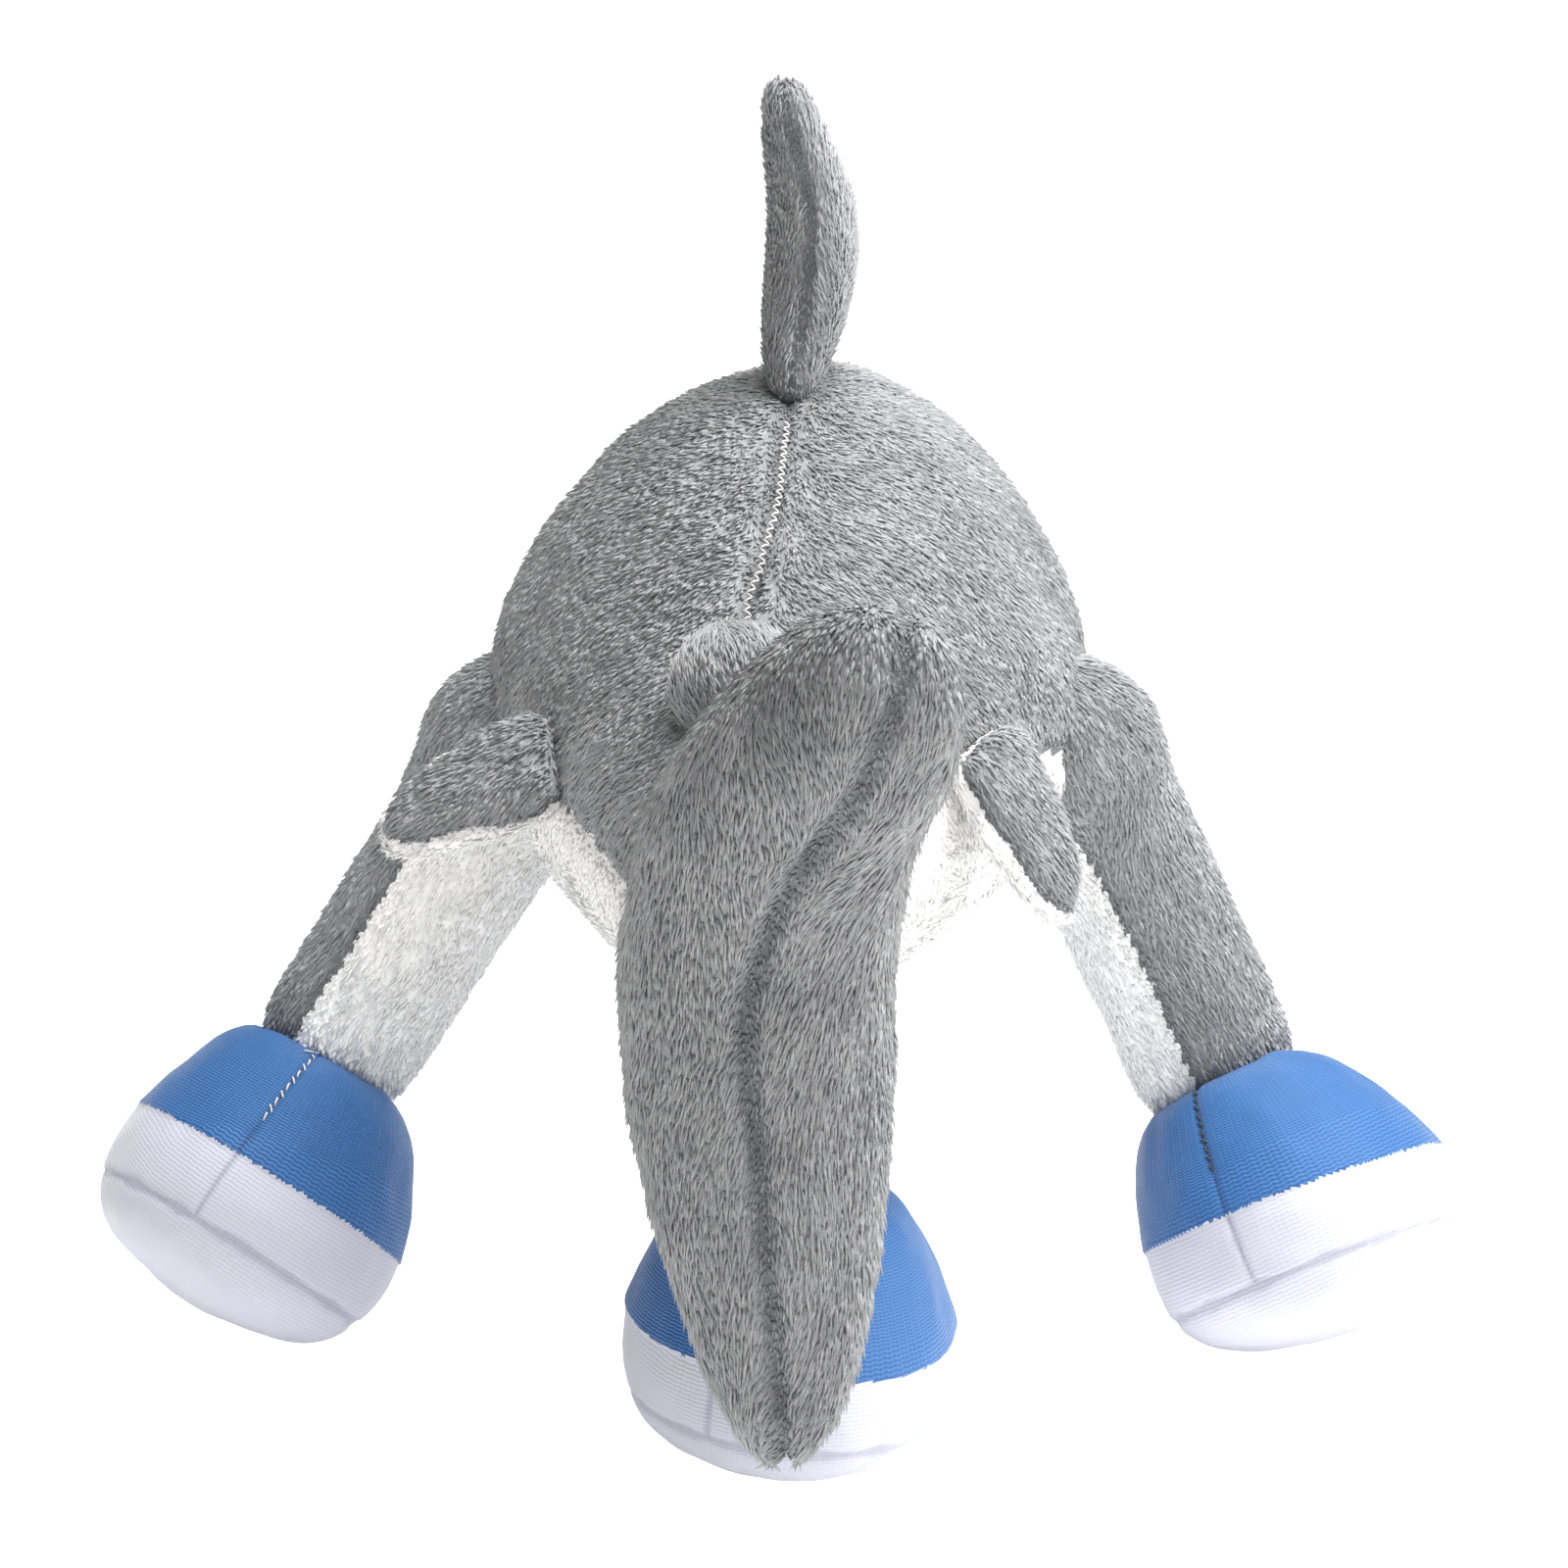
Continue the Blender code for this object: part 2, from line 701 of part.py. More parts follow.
def main():
    clear_scene()
    dorsal_line, dorsal_up = dorsal_frame()
    cutters = [
        ball_cutter("small_fin_socket", NUB_PIVOT, NUB_SOCKET),
        ball_cutter("tail_socket", TAIL_PIVOT, TAIL_SOCKET),
        rod_cutter("dorsal_fin_slot", DORSAL_PIVOT, dorsal_line, DORSAL_SOCKET, DORSAL_SLOT),
    ]
    for place, leg in LEGS.items():
        cutters.append(ball_cutter(place + "_leg_socket", leg[0], LEG_SOCKETS[place]))
    pockets = []
    for side, (pivot, out, hinge) in PECTORALS.items():
        slot = rod_cutter(side + "_side_fin_slot", pivot, hinge, PECTORAL_SOCKET, PECTORAL_SLOT)
        hole, pocket = eye_cutters(side)
        cutters += [slot, hole]
        pockets.append(pocket)
        make_eye(side)
        make_pectoral(side, pivot_empty(side + "_side_fin_pivot", pivot))
    make_torso(cutters, pockets)
    make_back_thread()
    make_tail(pivot_empty("tail_pivot", TAIL_PIVOT))
    make_dorsal(pivot_empty("dorsal_fin_pivot", DORSAL_PIVOT))
    make_nub(pivot_empty("small_fin_pivot", NUB_PIVOT))
    block = bmesh.new()
    size = Matrix.Diagonal((FLOOR_WIDTH, FLOOR_WIDTH, FLOOR_DEPTH, 1.0))
    bmesh.ops.create_cube(block, matrix=Matrix.Translation((0, 0, -FLOOR_DEPTH / 2)) @ size)
    floor = as_cutter(add_object("floor_block", block, None))
    for place, leg in LEGS.items():
        make_leg(place, pivot_empty(place + "_leg_pivot", leg[0]))
        socket = ball_cutter(place + "_ankle_socket", leg[2], ANKLE_SOCKET)
        make_shoe(place, pivot_empty(place + "_ankle_pivot", leg[2]), socket, floor)


main()
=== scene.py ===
import json
import math

import bmesh
import bpy
import numpy as np
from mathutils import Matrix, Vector, noise
from mathutils.bvhtree import BVHTree


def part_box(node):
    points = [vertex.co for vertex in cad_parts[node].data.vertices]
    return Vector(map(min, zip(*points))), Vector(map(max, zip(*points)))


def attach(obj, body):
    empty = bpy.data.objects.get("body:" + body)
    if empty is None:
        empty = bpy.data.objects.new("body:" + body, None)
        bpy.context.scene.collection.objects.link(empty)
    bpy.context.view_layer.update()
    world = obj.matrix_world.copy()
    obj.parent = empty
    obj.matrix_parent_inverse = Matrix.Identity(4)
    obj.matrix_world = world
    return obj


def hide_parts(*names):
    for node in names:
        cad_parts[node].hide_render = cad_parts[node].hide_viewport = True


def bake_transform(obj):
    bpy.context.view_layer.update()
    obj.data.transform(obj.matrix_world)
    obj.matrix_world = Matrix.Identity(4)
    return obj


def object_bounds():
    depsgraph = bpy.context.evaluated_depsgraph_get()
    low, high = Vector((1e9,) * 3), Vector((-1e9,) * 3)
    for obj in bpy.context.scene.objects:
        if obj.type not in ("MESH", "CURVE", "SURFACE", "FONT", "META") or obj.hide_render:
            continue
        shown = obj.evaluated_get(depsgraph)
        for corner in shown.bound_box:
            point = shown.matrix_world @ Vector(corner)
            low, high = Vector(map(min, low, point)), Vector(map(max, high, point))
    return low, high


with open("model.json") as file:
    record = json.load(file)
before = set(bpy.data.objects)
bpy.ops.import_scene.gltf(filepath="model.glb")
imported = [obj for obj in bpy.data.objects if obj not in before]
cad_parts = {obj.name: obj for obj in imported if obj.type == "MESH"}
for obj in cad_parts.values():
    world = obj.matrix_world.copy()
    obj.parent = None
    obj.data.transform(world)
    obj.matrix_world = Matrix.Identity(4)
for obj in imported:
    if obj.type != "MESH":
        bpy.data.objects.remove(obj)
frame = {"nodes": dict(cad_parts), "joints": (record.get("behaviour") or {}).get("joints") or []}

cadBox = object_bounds()
scene = bpy.context.scene
mm = 0.001
joints = {joint["name"]: joint for joint in frame["joints"]}
shoePlaces = ("left_front", "right_front", "rear")


def coordinates(mesh):
    found = np.empty(len(mesh.vertices) * 3)
    mesh.vertices.foreach_get("co", found)
    return found.reshape(-1, 3)


def setCoordinates(mesh, points):
    mesh.vertices.foreach_set("co", np.asarray(points).ravel())
    mesh.update()


def normals(mesh):
    found = np.empty(len(mesh.vertices) * 3)
    mesh.vertex_normals.foreach_get("vector", found)
    return found.reshape(-1, 3)


def unit(vectors):
    return vectors / np.maximum(np.linalg.norm(vectors, axis=-1, keepdims=True), 1e-9)


def storeValues(mesh, name, values, kind="FLOAT"):
    layer = mesh.attributes.get(name) or mesh.attributes.new(name, kind, "POINT")
    key = "vector" if kind == "FLOAT_VECTOR" else "value"
    layer.data.foreach_set(key, np.asarray(values, np.float32).ravel())


def newPiece(name, mesh):
    piece = bpy.data.objects.new(name, mesh)
    scene.collection.objects.link(piece)
    return piece


def meshFrom(shape, name):
    mesh = bpy.data.meshes.new(name)
    shape.to_mesh(mesh)
    shape.free()
    return mesh


def baked(piece):
    # The evaluated shape becomes the piece's own plain mesh
    graph = bpy.context.evaluated_depsgraph_get()
    mesh = bpy.data.meshes.new_from_object(piece.evaluated_get(graph))
    piece.modifiers.clear()
    piece.data = mesh
    return piece


def relax(mesh, rounds, share=0.5):
    edges = np.empty(len(mesh.edges) * 2, np.int64)
    mesh.edges.foreach_get("vertices", edges)
    first, second = edges.reshape(-1, 2).T
    points = coordinates(mesh)
    count = len(points)
    degree = np.bincount(first, minlength=count) + np.bincount(second, minlength=count)
    for _ in range(rounds):
        middle = np.empty_like(points)
        for axis in range(3):
            value = points[:, axis]
            middle[:, axis] = np.bincount(first, value[second], count)
            middle[:, axis] += np.bincount(second, value[first], count)
        middle /= np.maximum(degree, 1)[:, None]
        points += share * (middle - points)
    setCoordinates(mesh, points)


def remeshed(piece, voxel):
    remesh = piece.modifiers.new("remesh", "REMESH")
    remesh.mode = "VOXEL"
    remesh.voxel_size = voxel
    return baked(piece)


def subdivided(piece, levels):
    finer = piece.modifiers.new("finer", "SUBSURF")
    finer.levels = finer.render_levels = levels
    return baked(piece)


def swollen(piece, pressure, limit, frames=20):
    # Cloth under pressure for a few frames, moving no further than the limit. As set here,
    # limbs, fins, tail and shoes move by less than a tenth of a millimetre on average.
    before = coordinates(piece.data)
    cloth = piece.modifiers.new("filling", "CLOTH")
    cloth.settings.quality = 5
    cloth.settings.mass = 0.25
    cloth.settings.use_pressure = True
    cloth.settings.uniform_pressure_force = pressure
    cloth.settings.effector_weights.gravity = 0.0
    cloth.point_cache.frame_end = frames
    for frameNumber in range(1, frames + 1):
        scene.frame_set(frameNumber)
    baked(piece)
    move = coordinates(piece.data) - before
    length = np.linalg.norm(move, axis=1, keepdims=True)
    move *= np.minimum(1.0, limit / np.maximum(length, 1e-9))
    setCoordinates(piece.data, before + move)
    scene.frame_set(1)
    return piece


def nodeCopy(node, name):
    shape = bmesh.new()
    shape.from_mesh(frame["nodes"][node].data)
    bmesh.ops.remove_doubles(shape, verts=shape.verts, dist=0.01 * mm)
    return newPiece(name, meshFrom(shape, name))


def grown(piece, distance):
    mesh = piece.data
    setCoordinates(mesh, coordinates(mesh) + normals(mesh) * distance)
    return piece


def nodeTree(nodes):
    shape = bmesh.new()
    for node in nodes:
        shape.from_mesh(frame["nodes"][node].data)
    bmesh.ops.triangulate(shape, faces=shape.faces)
    tree = BVHTree.FromBMesh(shape)
    shape.free()
    return tree


def distances(points, tree):
    return np.array([tree.find_nearest(Vector(point))[3] for point in points])


def seamDistance(points, nearNodes, farNodes):
    # How far each point is from the seam, positive on the first nodes' side
    return distances(points, nodeTree(farNodes)) - distances(points, nodeTree(nearNodes))


def lumps(points, size, seed):
    offset = Vector((seed * 1.7, seed * 3.1, seed * 0.9))
    return np.array([noise.noise(Vector(point) / size + offset) for point in points])


def treeInputs(tree, sockets):
    for name, kind in sockets:
        tree.interface.new_socket(name, in_out="INPUT", socket_type="NodeSocket" + kind)
    tree.interface.new_socket("Geometry", in_out="OUTPUT", socket_type="NodeSocketGeometry")


def usable(sockets, name):
    return [socket for socket in sockets if socket.name == name and socket.enabled][0]


def addNode(tree, kind, settings=None, **links):
    node = tree.nodes.new(kind)
    for key, value in (settings or {}).items():
        setattr(node, key, value)
    for key, value in links.items():
        target = usable(node.inputs, key.replace("_", " "))
        if isinstance(value, bpy.types.NodeSocket):
            tree.links.new(value, target)
        else:
            target.default_value = value
    return node


def math2(tree, operation, first, second):
    node = tree.nodes.new("ShaderNodeMath")
    node.operation = operation
    for socket, value in zip(node.inputs, (first, second)):
        if isinstance(value, bpy.types.NodeSocket):
            tree.links.new(value, socket)
        else:
            socket.default_value = value
    return node.outputs[0]


def vectorMath(tree, operation, first, second=None, scale=None):
    node = tree.nodes.new("ShaderNodeVectorMath")
    node.operation = operation
    for name, value in ((0, first), (1, second), ("Scale", scale)):
        if value is None:
            continue
        if isinstance(value, bpy.types.NodeSocket):
            tree.links.new(value, node.inputs[name])
        else:
            node.inputs[name].default_value = value
    return node.outputs[0]


def runTree(piece, tree, values):
    modifier = piece.modifiers.new(tree.name, "NODES")
    modifier.node_group = tree
    for item in tree.interface.items_tree:
        if item.in_out == "INPUT" and item.name in values:
            modifier[item.identifier] = values[item.name]
    return baked(piece)


def pileTree():
    # Tufts combed along the nap, leaning up from the cloth
    tree = bpy.data.node_groups.new("combedPile", "GeometryNodeTree")
    treeInputs(tree, (
        ("Geometry", "Geometry"), ("Tuft", "Object"), ("Density", "Float"), ("Length", "Float"),
        ("Width", "Float"), ("Lean", "Float"), ("Tangle", "Float"), ("Seed", "Int"),
        ("Plush", "Material"),
    ))
    into = tree.nodes.new("NodeGroupInput").outputs
    scatter = addNode(
        tree, "GeometryNodeDistributePointsOnFaces",
        Mesh=into["Geometry"], Density=into["Density"], Seed=into["Seed"],
    )
    nap = addNode(
        tree, "GeometryNodeInputNamedAttribute", {"data_type": "FLOAT_VECTOR"}, Name="nap"
    ).outputs[0]
    wander = addNode(
        tree, "FunctionNodeRandomValue", {"data_type": "FLOAT_VECTOR"},
        Min=(-1, -1, -1), Max=(1, 1, 1), Seed=into["Seed"],
    )
    wander = usable(wander.outputs, "Value")
    astray = vectorMath(tree, "SCALE", wander, scale=into["Tangle"])
    along = vectorMath(tree, "NORMALIZE", vectorMath(tree, "ADD", nap, astray))
    rise = vectorMath(tree, "SCALE", scatter.outputs["Normal"], scale=into["Lean"])
    turn = addNode(
        tree, "FunctionNodeAxesToRotation", {"primary_axis": "Y", "secondary_axis": "Z"},
        Primary_Axis=vectorMath(tree, "ADD", along, rise),
        Secondary_Axis=scatter.outputs["Normal"],
    )
    grow = addNode(
        tree, "GeometryNodeInputNamedAttribute", {"data_type": "FLOAT"}, Name="grow"
    ).outputs[0]
    sizes = []
    for name, low, high, seed in (("Width", 0.7, 1.3, 11), ("Length", 0.65, 1.3, 23)):
        chance = addNode(
            tree, "FunctionNodeRandomValue", {"data_type": "FLOAT"}, Min=low, Max=high, Seed=seed
        )
        sizes.append(math2(tree, "MULTIPLY", into[name], usable(chance.outputs, "Value")))
    sizes[1] = math2(tree, "MULTIPLY", sizes[1], grow)
    scale = addNode(tree, "ShaderNodeCombineXYZ", X=sizes[0], Y=sizes[1], Z=sizes[0])
    tuft = addNode(tree, "GeometryNodeObjectInfo", Object=into["Tuft"])
    tufts = addNode(
        tree, "GeometryNodeInstanceOnPoints", Points=scatter.outputs["Points"],
        Instance=tuft.outputs["Geometry"], Rotation=turn.outputs[0], Scale=scale.outputs[0],
    )
    chance = addNode(tree, "FunctionNodeRandomValue", {"data_type": "FLOAT"}, Min=0.0, Max=1.0, Seed=37)
    shaded = addNode(
        tree, "GeometryNodeStoreNamedAttribute", {"data_type": "FLOAT", "domain": "INSTANCE"},
        Geometry=tufts.outputs[0], Name="shade", Value=usable(chance.outputs, "Value"),
    )
    both = tree.nodes.new("GeometryNodeJoinGeometry")
    tree.links.new(shaded.outputs[0], both.inputs[0])
    tree.links.new(into["Geometry"], both.inputs[0])
    real = addNode(tree, "GeometryNodeRealizeInstances", Geometry=both.outputs[0])
    dressed = addNode(
        tree, "GeometryNodeSetMaterial", Geometry=real.outputs[0], Material=into["Plush"]
    )
    out = tree.nodes.new("NodeGroupOutput")
    tree.links.new(dressed.outputs[0], out.inputs[0])
    return tree


def tuftShape():
    # A slim closed spike with a ridge, one unit long along Y
    shape = bmesh.new()
    left, right, ridge, tip = [
        shape.verts.new(place)
        for place in ((-0.5, 0.0, -0.15), (0.5, 0.0, -0.15), (0.0, 0.12, 0.42), (0.0, 1.0, 0.0))
    ]
    for corners in ((left, right, ridge), (right, tip, ridge), (tip, left, ridge), (right, left, tip)):
        shape.faces.new(corners)
    bmesh.ops.recalc_face_normals(shape, faces=shape.faces)
    mesh = meshFrom(shape, "tuft")
    # Tip runs from 0 at the root to 1 at the point; near the root the pile is painted in shade
    storeValues(mesh, "tip", [0.0, 0.0, 0.35, 1.0])
    mesh.shade_smooth()
    return newPiece("tuft", mesh)


def stitchTree():
    # Stitches set along a line of thread, each turned by the same angle
    tree = bpy.data.node_groups.new("sewnLine", "GeometryNodeTree")
    treeInputs(tree, (
        ("Geometry", "Geometry"), ("Stitch", "Object"), ("Pitch", "Float"), ("Size", "Vector"),
        ("Turn", "Float"), ("Swap", "Float"), ("Thread", "Material"),
    ))
    into = tree.nodes.new("NodeGroupInput").outputs
    line = addNode(tree, "GeometryNodeMeshToCurve", Mesh=into["Geometry"])
    points = addNode(
        tree, "GeometryNodeCurveToPoints", {"mode": "LENGTH"},
        Curve=line.outputs[0], Length=into["Pitch"],
    )
    out = addNode(
        tree, "GeometryNodeInputNamedAttribute", {"data_type": "FLOAT_VECTOR"}, Name="out"
    ).outputs[0]
    turn = addNode(
        tree, "FunctionNodeAxesToRotation", {"primary_axis": "Z", "secondary_axis": "Y"},
        Primary_Axis=out, Secondary_Axis=points.outputs["Tangent"],
    )
    index = addNode(tree, "GeometryNodeInputIndex").outputs[0]
    odd = math2(tree, "MODULO", index, 2.0)
    side = math2(tree, "SUBTRACT", 1.0, math2(tree, "MULTIPLY", odd, into["Swap"]))
    spin = math2(tree, "MULTIPLY", into["Turn"], side)
    angle = addNode(tree, "ShaderNodeCombineXYZ", Z=spin)
    twist = addNode(tree, "FunctionNodeRotateRotation", {"rotation_space": "LOCAL"},
                    Rotation=turn.outputs[0], Rotate_By=angle.outputs[0])
    sewn = addNode(
        tree, "GeometryNodeInstanceOnPoints", Points=points.outputs["Points"],
        Instance=addNode(tree, "GeometryNodeObjectInfo", Object=into["Stitch"]).outputs["Geometry"],
        Rotation=twist.outputs[0], Scale=into["Size"],
    )
    real = addNode(tree, "GeometryNodeRealizeInstances", Geometry=sewn.outputs[0])
    dressed = addNode(
        tree, "GeometryNodeSetMaterial", Geometry=real.outputs[0], Material=into["Thread"]
    )
    tree.links.new(dressed.outputs[0], tree.nodes.new("NodeGroupOutput").inputs[0])
    return tree


def closeRings(shape, rings):
    # Walls between the rings, and a cap at each end
    count = len(rings[0])
    for first, second in zip(rings, rings[1:]):
        for step in range(count):
            after = (step + 1) % count
            shape.faces.new((first[step], first[after], second[after], second[step]))
    shape.faces.new(rings[0])
    shape.faces.new(rings[-1])
    bmesh.ops.recalc_face_normals(shape, faces=shape.faces)


def stitchShape():
    # A rounded loop of thread, one unit long along Y, with its ends dipping into the cloth
    sides = 6
    shape = bmesh.new()
    rings = []
    for place, thick, height in (
        (-0.5, 0.25, -0.5), (-0.36, 0.45, -0.05), (0.0, 0.5, 0.25),
        (0.36, 0.45, -0.05), (0.5, 0.25, -0.5),
    ):
        ring = []
        for step in range(sides):
            turn = step * 2 * math.pi / sides
            ring.append(shape.verts.new(
                (thick * math.cos(turn), place, height + thick * math.sin(turn))
            ))
        rings.append(ring)
    closeRings(shape, rings)
    mesh = meshFrom(shape, "stitch")
    mesh.shade_smooth()
    return newPiece("stitch", mesh)


def shaderGroup(name, inputs, outputs):
    group = bpy.data.node_groups.new(name, "ShaderNodeTree")
    for title, kind, value in inputs:
        socket = group.interface.new_socket(title, in_out="INPUT", socket_type="NodeSocket" + kind)
        if value is not None:
            socket.default_value = value
    for title, kind in outputs:
        group.interface.new_socket(title, in_out="OUTPUT", socket_type="NodeSocket" + kind)
    return group, group.nodes.new("NodeGroupInput").outputs, group.nodes.new("NodeGroupOutput").inputs


def mixColour(tree, share, first, second, mode="MIX"):
    node = tree.nodes.new("ShaderNodeMix")
    node.data_type = "RGBA"
    node.blend_type = mode
    for socket, value in ((node.inputs[0], share), (node.inputs[6], first), (node.inputs[7], second)):
        if isinstance(value, bpy.types.NodeSocket):
            tree.links.new(value, socket)
        else:
            socket.default_value = value
    return node.outputs[2]


def pileColourGroup():
    # Colour of combed pile: darker at the root and lighter at the tip as painted shade within the pile,
    # darker in the seams as painted shade, with random tone in streaks and patches
    group, into, out = shaderGroup(
        "pileColour",
        (("PileShade", "Color", None), ("Light", "Color", None), ("Streaks", "Float", 0.35)),
        (("Colour", "Color"), ("Roughness", "Float"), ("Height", "Float")),
    )
    place = group.nodes.new("ShaderNodeTexCoord").outputs["Object"]
    patches = addNode(group, "ShaderNodeTexNoise", Vector=place, Scale=95.0, Detail=2.0)
    streaks = addNode(group, "ShaderNodeTexNoise", Vector=place, Scale=420.0, Detail=3.0)
    fibres = addNode(group, "ShaderNodeTexNoise", Vector=place, Scale=2600.0, Detail=1.0)
    tip = addNode(group, "ShaderNodeAttribute", {"attribute_name": "tip"}).outputs["Fac"]
    shade = addNode(group, "ShaderNodeAttribute", {"attribute_name": "shade"}).outputs["Fac"]
    uneven = math2(group, "MULTIPLY", math2(group, "SUBTRACT", shade, 0.5), into["Streaks"])
    broad = math2(group, "MULTIPLY", math2(group, "SUBTRACT", patches.outputs[0], 0.5), 0.7)
    narrow = math2(group, "MULTIPLY", math2(group, "SUBTRACT", streaks.outputs[0], 0.5), 0.5)
    fine = math2(group, "MULTIPLY", math2(group, "SUBTRACT", fibres.outputs[0], 0.5), 0.35)
    # Painted shade where the cloth dips into a seam: the shorter the pile there, the darker
    grow = addNode(group, "ShaderNodeAttribute", {"attribute_name": "grow"}).outputs["Fac"]
    seam = math2(group, "MULTIPLY", math2(group, "SUBTRACT", grow, 1.0), 0.75)
    # Painted shade in the pile: darker at the root of each tuft, lighter towards its tip
    level = math2(group, "ADD", math2(group, "MULTIPLY", tip, 0.5), 0.36)
    for part in (uneven, broad, narrow, fine, seam):
        level = math2(group, "ADD", level, part)
    clamp = addNode(group, "ShaderNodeClamp", Value=level)
    group.links.new(mixColour(group, clamp.outputs[0], into["PileShade"], into["Light"]), out["Colour"])
    rough = math2(group, "SUBTRACT", 0.86, math2(group, "MULTIPLY", tip, 0.16))
    group.links.new(rough, out["Roughness"])
    group.links.new(math2(group, "ADD", streaks.outputs[0], fibres.outputs[0]), out["Height"])
    return group


def newMaterial(name):
    material = bpy.data.materials.new(name)
    material.use_nodes = True
    return material, material.node_tree, material.node_tree.nodes["Principled BSDF"]


def placeGroup(tree, group, values):
    node = tree.nodes.new("ShaderNodeGroup")
    node.node_tree = group
    for name, value in values.items():
        node.inputs[name].default_value = value
    return node


def addBump(tree, shader, height, strength, distance):
    bump = addNode(tree, "ShaderNodeBump", Strength=strength, Distance=distance, Height=height)
    tree.links.new(bump.outputs[0], shader.inputs["Normal"])


def plushMaterial(name, dark, light, streaks, sheen):
    material, tree, shader = newMaterial(name)
    pile = placeGroup(tree, pileColour, {"PileShade": (*dark, 1), "Light": (*light, 1), "Streaks": streaks})
    tree.links.new(pile.outputs["Colour"], shader.inputs["Base Color"])
    tree.links.new(pile.outputs["Roughness"], shader.inputs["Roughness"])
    addBump(tree, shader, pile.outputs["Height"], 0.35, 0.0004)
    shader.inputs["Sheen Weight"].default_value = sheen
    shader.inputs["Sheen Roughness"].default_value = 0.45
    shader.inputs["Specular IOR Level"].default_value = 0.25
    return material


def knitGroup():
    # Ribs of fine knit in zigzag rows; U counts columns and V counts rows. The grooves between ribs and
    # the seam creases are darkened with painted shade
    group, into, out = shaderGroup(
        "knitRibs",
        (("GrooveShade", "Color", None), ("Yarn", "Color", None), ("CreaseShade", "Color", None),
         ("Zigzag", "Float", 0.5), ("Wear", "Float", 0.2)),
        (("Colour", "Color"), ("Height", "Float")),
    )
    place = addNode(group, "ShaderNodeUVMap", {"uv_map": "knit"})
    parts = addNode(group, "ShaderNodeSeparateXYZ", Vector=place.outputs[0])
    column, row = parts.outputs[0], parts.outputs[1]
    bend = math2(group, "MULTIPLY", math2(group, "PINGPONG", column, 1.0), into["Zigzag"])
    phase = math2(group, "MULTIPLY", math2(group, "ADD", row, bend), 2 * math.pi)
    wave = math2(group, "SINE", phase, 0.0)
    rib = math2(group, "MULTIPLY_ADD", wave, 0.5)
    rib.node.inputs[2].default_value = 0.5
    dent = math2(group, "MULTIPLY", math2(group, "PINGPONG", column, 0.5), 0.7)
    height = math2(group, "ADD", rib, dent)
    spot = group.nodes.new("ShaderNodeTexCoord").outputs["Object"]
    cloudy = addNode(group, "ShaderNodeTexNoise", Vector=spot, Scale=160.0, Detail=4.0)
    # Painted shade: the lower the knit, the nearer its colour comes to the groove shade
    share = math2(group, "ADD", math2(group, "MULTIPLY", height, 0.75),
                  math2(group, "MULTIPLY", cloudy.outputs[0], into["Wear"]))
    clamp = addNode(group, "ShaderNodeClamp", Value=share)
    yarn = mixColour(group, clamp.outputs[0], into["GrooveShade"], into["Yarn"])
    # Painted shade along the seam creases at the sole and the heel
    creaseShade = addNode(group, "ShaderNodeAttribute", {"attribute_name": "creaseShade"}).outputs["Fac"]
    group.links.new(mixColour(group, creaseShade, yarn, into["CreaseShade"]), out["Colour"])
    group.links.new(height, out["Height"])
    return group


def knitMaterial(name, grooveShade, yarn, creaseShade, zigzag, relief):
    material, tree, shader = newMaterial(name)
    ribs = placeGroup(tree, knitRibs, {
        "GrooveShade": (*grooveShade, 1), "Yarn": (*yarn, 1), "CreaseShade": (*creaseShade, 1), "Zigzag": zigzag,
    })
    tree.links.new(ribs.outputs["Colour"], shader.inputs["Base Color"])
    addBump(tree, shader, ribs.outputs["Height"], relief, 0.0003)
    shader.inputs["Roughness"].default_value = 0.62
    shader.inputs["Sheen Weight"].default_value = 0.25
    shader.inputs["Sheen Roughness"].default_value = 0.4
    return material


def threadMaterial(name, dark, light):
    material, tree, shader = newMaterial(name)
    place = tree.nodes.new("ShaderNodeTexCoord").outputs["Object"]
    strands = addNode(tree, "ShaderNodeTexNoise", Vector=place, Scale=1500.0, Detail=2.0)
    colour = mixColour(tree, strands.outputs[0], (*dark, 1), (*light, 1))
    tree.links.new(colour, shader.inputs["Base Color"])
    addBump(tree, shader, strands.outputs[0], 0.5, 0.0002)
    shader.inputs["Roughness"].default_value = 0.55
    return material


def plasticMaterial(name, colour, roughness):
    material, tree, shader = newMaterial(name)
    place = tree.nodes.new("ShaderNodeTexCoord").outputs["Object"]
    haze = addNode(tree, "ShaderNodeTexNoise", Vector=place, Scale=300.0, Detail=3.0)
    tree.links.new(mixColour(tree, haze.outputs[0], (*colour, 1), (*[c * 1.5 for c in colour], 1)),
                   shader.inputs["Base Color"])
    low = math2(tree, "MULTIPLY_ADD", haze.outputs[0], 0.08)
    low.node.inputs[2].default_value = roughness
    tree.links.new(low, shader.inputs["Roughness"])
    return material


print("groups and materials")
pileColour = pileColourGroup()
knitRibs = knitGroup()
# Plush colours: the pile's painted shade at the root and in the seams, then its colour at the tips
greyPlush = plushMaterial("greyPlush", (0.15, 0.152, 0.158), (0.43, 0.43, 0.435), 0.45, 0.4)
whitePlush = plushMaterial("whitePlush", (0.90, 0.89, 0.875), (0.98, 0.975, 0.965), 0.2, 0.2)
